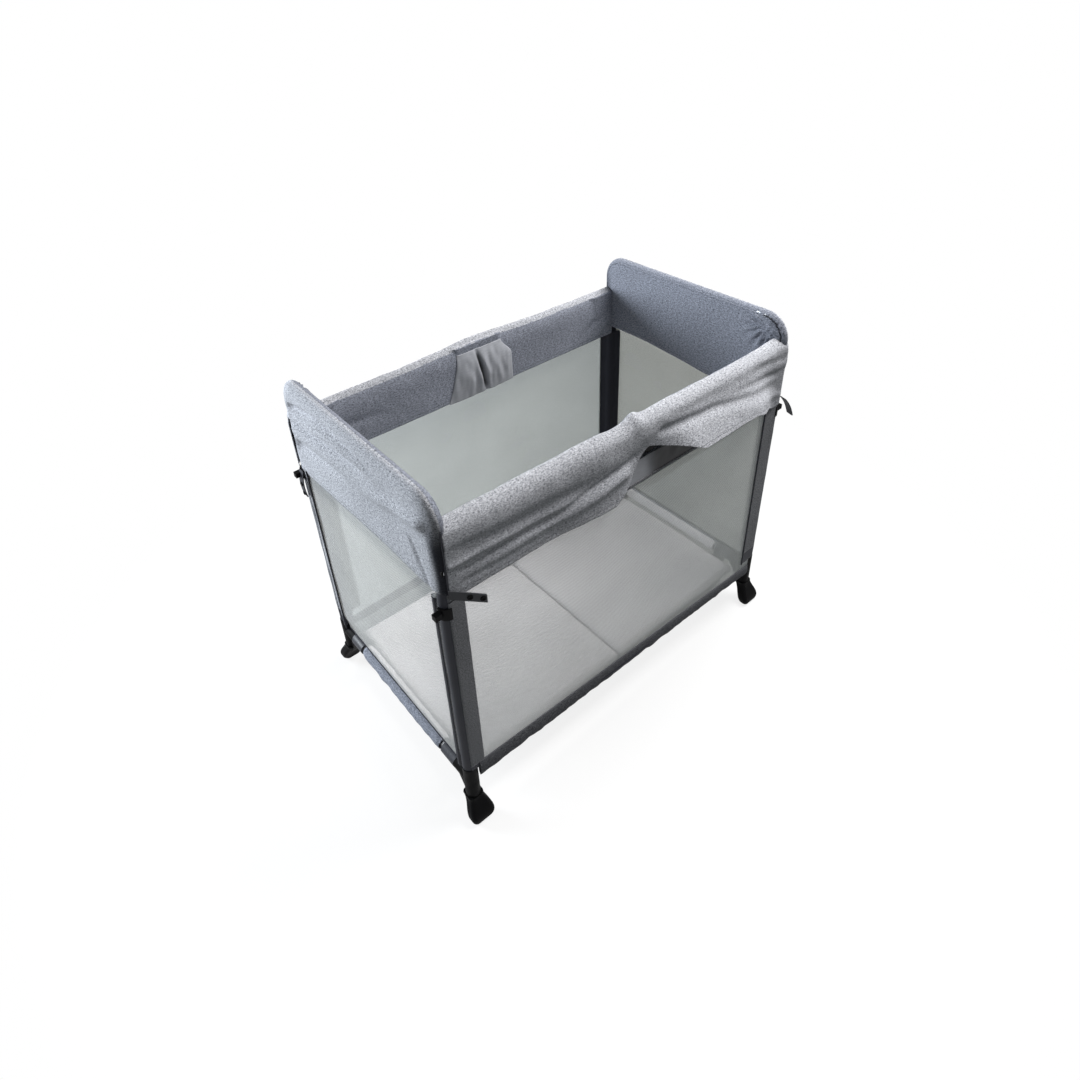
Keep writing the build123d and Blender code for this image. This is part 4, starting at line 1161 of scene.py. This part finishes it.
class COT_OT_rail_covers(bpy.types.Operator):
    """Canvas over the two side rails, slit at the hinge, with nylon gussets behind the slit and inside"""

    bl_idname = "cot.rail_covers"
    bl_label = "Rail covers"

    def execute(self, context):
        sizes = context.scene.cot_sizes
        for name, face in FACES.items():
            cover = self.canvas(context, name, face, sizes)
            behind = self.slit_lining(context, name, face, sizes)
            inside = self.inner_gusset(context, name, face, sizes)
            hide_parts(f"{name}_rail_cover")
            for piece in (cover, behind, inside):
                close_with_sides(piece)
        return {"FINISHED"}

    def canvas(self, context, name, face, sizes):
        """The canvas itself, hem to hem over the rail; its grid is split where the slit opens."""
        made = finishes(context)
        slit_up = rail_up(face, SLIT_TOP.x, SLIT_TOP.y, True, sizes)
        bm = bmesh.new()
        flat = bm.loops.layers.uv.new("cloth")
        bmesh.ops.create_grid(bm, x_segments=300, y_segments=104, size=0.5)
        lips = [e for e in bm.edges if all(abs(v.co.x) < 1e-6 and v.co.y + 0.5 < slit_up for v in e.verts)]
        bmesh.ops.split_edges(bm, edges=lips)
        places = {}
        columns = {}
        for vert in bm.verts:
            across, up = 2 * vert.co.x, vert.co.y + 0.5
            right = sum(f.calc_center_median().x for f in vert.link_faces) >= 0
            slack = max(0.0, 1 - up / slit_up)
            plain, wrapped = rail_ends(face, up, sizes)
            if right:
                lip = SLIT_TOP.x + (SLIT_RIGHT - SLIT_TOP.x) * slack
                x = lip + (wrapped - lip) * across
            else:
                lip = SLIT_TOP.x + (SLIT_LEFT - SLIT_TOP.x) * (0.75 * slack + 0.25 * slack**3)
                x = lip + (lip + plain) * across
            out, z = rail_section(face, x, up, sizes)
            if slack and right:
                out += sizes.slit_lift * slack**0.6 * math.exp(-abs(x - lip) / 0.06)
            elif slack:
                out += sizes.slit_lift * slack * math.exp(-abs(x - lip) / 0.03)
            places[vert] = (x, out, z)
            middle = abs(across) < 1e-6 and up >= slit_up
            for half in (True, False) if middle else (right,):
                columns.setdefault((round(across, 4), half), []).append((up, vert))
        rises = self.cloth_lengths(columns, places)
        for part in bm.faces:
            for loop in part.loops:
                loop[flat].uv = (places[loop.vert][0], rises[loop.vert])
        for vert, (x, out, z) in places.items():
            if x > LEG_X:
                turn = (x - LEG_X) / sizes.panel_roll
                x, out = LEG_X + out * math.sin(turn), out * math.cos(turn)
            vert.co = Vector((-face * x, face * (LEG_Y + out), z))
        # Faces well inside the rail take the darker inner canvas, a painted shade
        for part in bm.faces:
            part.material_index = int(all((v.co.y - face * LEG_Y) * face < -INNER_SHADE_FROM for v in part.verts))
        turn_out(bm, lambda at: Vector((0, at.y - face * LEG_Y, 0)))
        cloths = [made["canvas"], made["inner"]]
        return make_piece(context, f"{name}_rail_skirt", bm, cloths, 0, sizes.cloth)

    def cloth_lengths(self, columns, places):
        """Length of cloth from each point to the nearer hem, added up along each column of the grid."""
        rises = {}
        for column in columns.values():
            column.sort(key=lambda item: item[0])
            line = [vert for up, vert in column]
            total = 0.0
            for before, vert in zip([line[0]] + line, line):
                total += math.dist(places[before][1:], places[vert][1:])
                rises[vert] = total
            for vert in line:
                rises[vert] = min(rises[vert], total - rises[vert])
        return rises

    def slit_lining(self, context, name, face, sizes):
        """Grey nylon behind the slit, from the net's top up to the release button, with painted shade under
        the flap.
        """
        made = finishes(context)
        low = HEM_Z + sizes.net_top - LINING_LAP
        high = BUTTON_LOW - BUTTON_GAP

        def place(across, up):
            x = LINING_START + LINING_LENGTH * across
            z = low + (high - low) * up
            skirt = rail_section(face, x, rail_up(face, x, z, True, sizes), sizes)[0]
            out = NET_OUT - LINING_BEHIND - LINING_LEAN * up + up * uneven(x, z, 9.0, *LINING_LUMPS)
            return Vector((-face * x, face * (LEG_Y + min(out, skirt - LINING_CLEAR)), z))

        bm = lay_sheet(60, 16, place, plain_cut(LINING_LENGTH, high - low))
        # Painted shade: the lining darkens from the slit's top towards the flap, which shades it
        edge = bm.verts.layers.float.new("edge")
        for vert in bm.verts:
            vert[edge] = 0.95 * ramp(-face * vert.co.x, 0.01, 0.06)
        turn_out(bm, lambda at: Vector((0, face, 0)))
        return make_piece(context, f"{name}_slit_lining", bm, [made["nylon"]], 1, NYLON)

    def inner_gusset(self, context, name, face, sizes):
        """Loose nylon gusset on the inner wall below the hinge, with a deep fold down its middle that painted
        shade darkens.
        """
        made = finishes(context)
        low = HEM_Z + sizes.skirt_rise - GUSSET_LAP
        high = rail_top(face, 0.0, sizes) - GUSSET_DROP

        def fold(x, z):
            return math.exp(-(((x + 0.2 * (z - low) - 0.012) / FOLD_WIDTH) ** 2))

        def place(across, up):
            left = -0.065 - 0.035 * (1 - up) ** 1.5
            right = 0.095 - 0.03 * ramp(up, 0.6, 1.0)
            x = left + (right - left) * across
            z = low + (high - low) * up
            skirt = -rail_section(face, -x, rail_up(face, -x, z, False, sizes), sizes)[0]
            hang = math.sin(math.pi * across) ** 0.5 * math.sin(math.pi * (0.1 + 0.86 * up))
            puff = GUSSET_PUFF * hang * (1 - 1.1 * fold(x, z))
            puff += hang * uneven(x, z * 0.35, 2.0, *GUSSET_LUMPS)
            return Vector((face * x, face * (LEG_Y - skirt - GUSSET_GAP - max(puff, 0.0)), z))

        bm = lay_sheet(70, 34, place, plain_cut(0.18, high - low))
        # Painted shade: the deep fold is darkened, apart from near its top and bottom ends
        edge = bm.verts.layers.float.new("edge")
        for vert in bm.verts:
            share = (vert.co.z - low) / (high - low)
            open_ends = ramp(share, 0.0, 0.2) * (1 - ramp(share, 0.8, 1.0))
            vert[edge] = 0.95 * fold(face * vert.co.x, vert.co.z) * open_ends
        turn_out(bm, lambda at: Vector((0, -face, 0)))
        return make_piece(context, f"{name}_inner_gusset", bm, [made["nylon"]], 1, NYLON)


class COT_OT_bottom_hems(bpy.types.Operator):
    """Lumpy sewn hems along the bottom of the two side nets, each with a dark cord of painted shade in the
    slot at the base hinge
    """

    bl_idname = "cot.bottom_hems"
    bl_label = "Bottom hems"

    def execute(self, context):
        sizes = context.scene.cot_sizes
        made = finishes(context)
        half = SIDE_HEM_HIGH.x - HEM_END
        girth = 3.3 * (sizes.hem_height + HEM_DEPTH)
        for name, face in FACES.items():

            def place(along, round_it):
                x = half * (2 * along - 1)
                angle = math.tau * round_it
                lump = uneven(x, 0, face, *HEM_WAVES) + uneven(x, 0, face + 4, *HEM_LUMPS)
                tall = sizes.hem_height * (1 + 0.2 * face * x / LEG_X) + lump * (1 - math.sin(angle))
                out = NET_OUT + (HEM_DEPTH + 0.5 * lump) * math.cos(angle)
                z = hem_line(face, x, sizes) + tall * math.sin(angle)
                return Vector((x, face * (LEG_Y + out), z))

            bm = lay_sheet(170, 24, place, plain_cut(2 * half, girth))
            weld(bm)
            bmesh.ops.recalc_face_normals(bm, faces=bm.faces[:])
            # Painted shade: the whole hem is mixed halfway towards navy, as it faces down into shade
            edge = bm.verts.layers.float.new("edge")
            for vert in bm.verts:
                vert[edge] = HEM_PAINTED_SHADE
            hem = make_piece(context, f"{name}_hem", bm, [made["sleeve"]], 1, HEM_CLOTH)

            # Painted shade: a dark navy cord stands in for the shaded opening of the slot
            def slot_line(along):
                x = SLOT_START + SLOT_LENGTH * along
                z = hem_line(face, -face * x, sizes) - SLOT_DROP
                return Vector((-face * x, face * (LEG_Y + NET_OUT + HEM_DEPTH - SLOT_SUNK), z))

            def slot_gap(along):
                return SLOT_END + SLOT_SWELL * math.sin(math.pi * along) ** 0.5

            gap = lay_cord(40, slot_line, slot_gap, UP)
            slot = make_piece(context, f"{name}_hem_slot_shadow", gap, [made["navy"]], 0)
            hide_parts(f"{name}_bottom_hem")
            for piece in (hem, slot):
                close_with_sides(piece)
        return {"FINISHED"}


class COT_OT_mattress(bpy.types.Operator):
    """Two mattress halves that meet in a crease, each blown up a little by simulation"""

    bl_idname = "cot.mattress"
    bl_label = "Mattress"

    def execute(self, context):
        made = finishes(context)
        for name in SIDES:
            low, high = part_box(f"base_{name}_mattress")
            pad = self.slab(context, f"{name}_mattress_half", low, high, made["mattress"])
            self.swell(context, pad, low.z)
            self.lay_weave(pad)
            round_off = pad.modifiers.new("Smooth", "SUBSURF")
            round_off.levels = 1
            round_off.render_levels = 1
            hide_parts(f"base_{name}_mattress")
            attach(pad, f"base_{name}")
        return {"FINISHED"}

    def slab(self, context, name, low, high, material):
        """The pad before it is filled: a slab with soft edges that reaches from the crease to the bar."""
        bm = bmesh.new()
        span = high - low + PAD_GROWTH
        meet = Vector((math.copysign(PAD_SHIFT, low.x + high.x), 0, -PAD_DROP))
        bmesh.ops.create_cube(bm, size=1.0)
        bmesh.ops.scale(bm, vec=span, verts=bm.verts[:])
        bmesh.ops.translate(bm, vec=(low + high) / 2 + meet, verts=bm.verts[:])
        bmesh.ops.bevel(
            bm, geom=bm.edges[:], offset=PAD_EDGE, affect="EDGES", segments=3, profile=0.5, material=-1
        )
        rough = make_piece(context, name, bm, [material], 0)
        fine = rough.modifiers.new("Even mesh", "REMESH")
        fine.mode = "VOXEL"
        fine.voxel_size = PAD_MESH
        self.keep_shape(context, rough)
        return rough

    def keep_shape(self, context, pad):
        """Make what the pad's modifiers show its own mesh."""
        shown = pad.evaluated_get(context.evaluated_depsgraph_get())
        mesh = bpy.data.meshes.new_from_object(shown)
        pad.modifiers.clear()
        pad.data = mesh
        for polygon in mesh.polygons:
            polygon.use_smooth = True

    def swell(self, context, pad, floor):
        """Fill the pad with air for a moment; it can't swell through the board or far past its slab."""
        before = [v.co.copy() for v in pad.data.vertices]
        cloth = pad.modifiers.new("Fill", "CLOTH")
        cloth.settings.use_pressure = True
        cloth.settings.uniform_pressure_force = FILL_PRESSURE
        cloth.settings.effector_weights.gravity = 0.0
        cloth.point_cache.frame_end = FILL_FRAMES
        for step in range(1, FILL_FRAMES + 1):
            context.scene.frame_set(step)
        self.keep_shape(context, pad)
        context.scene.frame_set(1)
        for vert, start in zip(pad.data.vertices, before):
            move = vert.co - start
            rise = max(-FILL_CAP, min(FILL_CAP, move.z))
            vert.co = start + UP * max(rise, floor + FILL_GAP - start.z)

    def lay_weave(self, pad):
        """Map the cloth of the pad from above."""
        flat = pad.data.uv_layers.new(name="cloth")
        for loop in pad.data.loops:
            at = pad.data.vertices[loop.vertex_index].co
            flat.data[loop.index].uv = (at.x, at.y + 1.0)


class COT_OT_straps(bpy.types.Operator):
    """Closing straps at the corners with their press studs"""

    bl_idname = "cot.straps"
    bl_label = "Closing straps"

    def execute(self, context):
        sizes = context.scene.cot_sizes
        made = finishes(context)
        wide, long = sizes.strap_width, sizes.strap_length
        for name, side, face_name, face, plain in corners():
            label = f"{name}_{face_name}"
            if plain:
                # Sewn into the corner seam, it stands off the cot and droops
                beside, run = PLAIN_STRAP
                across_it = Vector((0, 0, -1))
                outwards = Vector((-side * 0.4, face, 0.5)).normalized()
            elif side > 0:
                # The free strap hangs outwards
                beside, run = RIGHT_STRAP
                across_it = Vector((-0.25, -0.97, 0))
                outwards = Vector((side, 0, 0.6)).normalized()
            else:
                beside, run = LEFT_STRAP
                across_it = Vector((0, -1, 0))
                outwards = Vector((side, 0, 0))
            start = Vector((side * (LEG_X + beside.x), face * (LEG_Y + beside.y), HEM_Z + beside.z))
            stop = start + Vector((side * run.x, face * run.y, run.z))

            def place(along, across):
                bow = outwards * STRAP_BOW * math.sin(math.pi * along)
                return start.lerp(stop, along) + bow + across_it * wide * across

            bm = lay_sheet(18, 6, place, plain_cut(long, wide))
            turn_out(bm, lambda at: outwards)
            cloth = made["webbing" if plain else "navy"]
            strap = make_piece(context, f"{label}_strap", bm, [cloth], 1, STRAP_CLOTH)
            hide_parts(f"{name}_closing_straps")
            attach(strap, f"{name}_end")
            way = (stop - start).cross(across_it).normalized()
            way = way if way.dot(outwards) > 0 else -way
            for step, along in enumerate((0.5, 0.87)):
                stud = self.stud(context, f"{label}_stud_{step + 1}", place(along, 0.5), way, made)
                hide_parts(f"{name}_strap_studs")
                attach(stud, f"{name}_end")
        return {"FINISHED"}

    def stud(self, context, name, at, way, made):
        """Press stud: a low cap with a raised rim and a hollow in the middle."""
        bm = bmesh.new()
        section = [(5.4, 0.0), (5.4, 1.2), (4.6, 2.0), (3.2, 2.0), (2.6, 1.0), (1.2, 0.8), (0.0, 0.8)]
        line = [bm.verts.new((r * MM, 0, h * MM)) for r, h in section]
        edges = [bm.edges.new(pair) for pair in zip(line, line[1:])]
        bmesh.ops.spin(
            bm, geom=line + edges, cent=(0, 0, 0), axis=UP, angle=math.tau, steps=20, use_merge=True
        )
        weld(bm)
        bmesh.ops.holes_fill(bm, edges=[e for e in bm.edges if e.is_boundary])
        bmesh.ops.recalc_face_normals(bm, faces=bm.faces[:])
        turn = UP.rotation_difference(way).to_matrix().to_4x4()
        bmesh.ops.transform(bm, matrix=Matrix.Translation(at) @ turn, verts=bm.verts[:])
        return make_piece(context, name, bm, [made["foot"]], 0)


class COT_OT_hard_finishes(bpy.types.Operator):
    """Finishes of the tubes, feet, knuckles, hinges, pins and boards"""

    bl_idname = "cot.hard_finishes"
    bl_label = "Hard finishes"

    def execute(self, context):
        made = finishes(context)
        words = {
            "foot": ("foot", "hooks", "button", "fork", "rail_left_hinge", "rail_right_hinge"),
            "knuckle": ("collars", "pivots", "base_left_hinges", "base_right_hinges"),
            "tube": ("hoop", "bar", "tube", "tubes"),
            "steel": ("rivets", "pins", "pin", "spring"),
            "board": ("board",),
        }
        for name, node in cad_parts.items():
            for finish, endings in words.items():
                if name.endswith(endings):
                    node.data.materials.clear()
                    node.data.materials.append(made[finish])
        return {"FINISHED"}


class COT_OT_stage(bpy.types.Operator):
    """Plain pale floor, soft studio light and the camera"""

    bl_idname = "cot.stage"
    bl_label = "Stage"

    def execute(self, context):
        self.floor(context)
        self.light(context)
        self.camera(context)
        context.scene.view_settings.view_transform = "Standard"
        return {"FINISHED"}

    def floor(self, context):
        """A wide level floor. The camera sees it white apart from a soft shadow near the cot, and it throws
        back as little light as a carpet."""
        colour = context.scene.cot_colours.floor
        bm = bmesh.new()
        bmesh.ops.create_circle(bm, cap_ends=True, segments=96, radius=14.0)
        material, tree, paint = new_finish("matt white floor", Roughness=1.0, Specular_IOR_Level=0.0)
        paint.inputs["Base Color"].default_value = (*colour, 1)
        carpet = add_node(tree, "ShaderNodeBsdfDiffuse", {"Color": (0.18, 0.185, 0.178, 1)}).outputs[0]
        glow = add_node(tree, "ShaderNodeEmission", {"Color": (*colour, 1), "Strength": 1.0}).outputs[0]
        place = add_node(tree, "ShaderNodeTexCoord").outputs["Object"]
        away = add_node(tree, "ShaderNodeVectorMath", {0: place}, operation="LENGTH").outputs["Value"]
        share = spread(tree, away, 0.5, 1.3, 0.82, 1.0)
        seen = add_node(tree, "ShaderNodeMixShader", {0: share, 1: paint.outputs[0], 2: glow}).outputs[0]
        both = add_node(tree, "ShaderNodeMixShader", {0: self.seen_rays(tree), 1: carpet, 2: seen})
        tree.links.new(both.outputs[0], tree.nodes["Material Output"].inputs["Surface"])
        mesh = bpy.data.meshes.new("floor")
        bm.to_mesh(mesh)
        bm.free()
        mesh.materials.append(material)
        floor = bpy.data.objects.new("floor", mesh)
        context.scene.collection.objects.link(floor)

    def seen_rays(self, tree):
        """1 for the rays that look at the background: from the camera, a shiny surface or through glass.
        Through the nets the carpet shows as it is."""
        path = add_node(tree, "ShaderNodeLightPath").outputs
        some = sum_up(tree, "MAXIMUM", path["Is Camera Ray"], path["Is Glossy Ray"])
        seen = sum_up(tree, "MAXIMUM", some, path["Is Transmission Ray"])
        return sum_up(tree, "MULTIPLY", seen, sum_up(tree, "LESS_THAN", path["Transparent Depth"], 0.5))

    def light(self, context):
        """A weak even sky, a broad lamp over the front rail and one low on the left behind the cot."""
        world = bpy.data.worlds.new("studio")
        world.use_nodes = True
        tree = world.node_tree
        sky = tree.nodes["Background"]
        sky.inputs["Color"].default_value = (0.94, 0.97, 1.0, 1)
        sky.inputs["Strength"].default_value = 0.2
        white = add_node(tree, "ShaderNodeBackground", {"Color": (1, 1, 1, 1), "Strength": 1.0}).outputs[0]
        mixed = add_node(tree, "ShaderNodeMixShader", {0: self.seen_rays(tree), 1: sky.outputs[0], 2: white})
        tree.links.new(mixed.outputs[0], tree.nodes["World Output"].inputs["Surface"])
        context.scene.world = world
        lamps = [
            ("left lamp", (-1.7, 2.0, 1.0), 1.4, 120, (0.88, 0.94, 1.0)),
            ("top lamp", (1.2, -0.42, 2.7), 1.5, 98, (1.0, 0.99, 0.98)),
        ]
        for name, at, size, power, colour in lamps:
            lamp = bpy.data.lights.new(name, "AREA")
            lamp.shape = "DISK"
            lamp.size = size
            lamp.energy = power
            lamp.color = colour
            holder = bpy.data.objects.new(name, lamp)
            holder.location = at
            aim = Vector((0, 0, 0.5)) - Vector(at)
            holder.rotation_euler = aim.to_track_quat("-Z", "Y").to_euler()
            holder.visible_camera = False
            context.scene.collection.objects.link(holder)

    def camera(self, context):
        """The photograph's viewing angle, a little rolled, with its frame shifted below the lens axis."""
        azimuth, elevation, roll = (math.radians(v) for v in (-38.54, 33.18, -2.61))
        target, distance = Vector((0.181, 0.284, 0.45)), 2.049
        frame_width, focal, centre = 1080, 739.6, (532.4, 420.9)
        level = Vector((math.sin(azimuth), -math.cos(azimuth), 0))
        back = level * math.cos(elevation) + UP * math.sin(elevation)
        right = (-back).cross(UP).normalized()
        up = right.cross(-back)
        turned = right * math.cos(roll) + up * math.sin(roll)
        upright = up * math.cos(roll) - right * math.sin(roll)
        lens = bpy.data.cameras.new("camera")
        lens.sensor_width = 36.0
        lens.lens = focal * lens.sensor_width / frame_width
        lens.shift_x = (frame_width / 2 - centre[0]) / frame_width
        lens.shift_y = (centre[1] - frame_width / 2) / frame_width
        lens.clip_start = 0.05
        holder = bpy.data.objects.new("camera", lens)
        axes = Matrix((turned, upright, back)).transposed().to_4x4()
        holder.matrix_world = Matrix.Translation(target + back * distance) @ axes
        context.scene.collection.objects.link(holder)
        context.scene.camera = holder


class COT_PT_sidebar(bpy.types.Panel):
    """Lists the steps that dress the cot"""

    bl_idname = "COT_PT_sidebar"
    bl_label = "Folding travel cot"
    bl_space_type = "VIEW_3D"
    bl_region_type = "UI"
    bl_category = "Cot"

    def draw(self, context):
        for step in STEPS:
            self.layout.operator(step.bl_idname)
        for group in (context.scene.cot_sizes, context.scene.cot_colours):
            for name in group.__annotations__:
                self.layout.prop(group, name)


STEPS = (
    COT_OT_stage,
    COT_OT_hard_finishes,
    COT_OT_end_panels,
    COT_OT_leg_sleeves,
    COT_OT_bar_sleeves,
    COT_OT_nets,
    COT_OT_rail_covers,
    COT_OT_bottom_hems,
    COT_OT_mattress,
    COT_OT_straps,
)
CLASSES = (CotSizes, CotColours, *STEPS, COT_PT_sidebar)


def register():
    """Make the steps, the sidebar and the settings known."""
    for kind in CLASSES:
        bpy.utils.register_class(kind)
    bpy.types.Scene.cot_sizes = bpy.props.PointerProperty(type=CotSizes)
    bpy.types.Scene.cot_colours = bpy.props.PointerProperty(type=CotColours)


def unregister():
    """Take back what register made known."""
    del bpy.types.Scene.cot_colours
    del bpy.types.Scene.cot_sizes
    for kind in reversed(CLASSES):
        bpy.utils.unregister_class(kind)


def main():
    """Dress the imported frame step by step."""
    register()
    for step in STEPS:
        group, word = step.bl_idname.split(".")
        getattr(getattr(bpy.ops, group), word)()


if __name__ == "__main__":
    main()
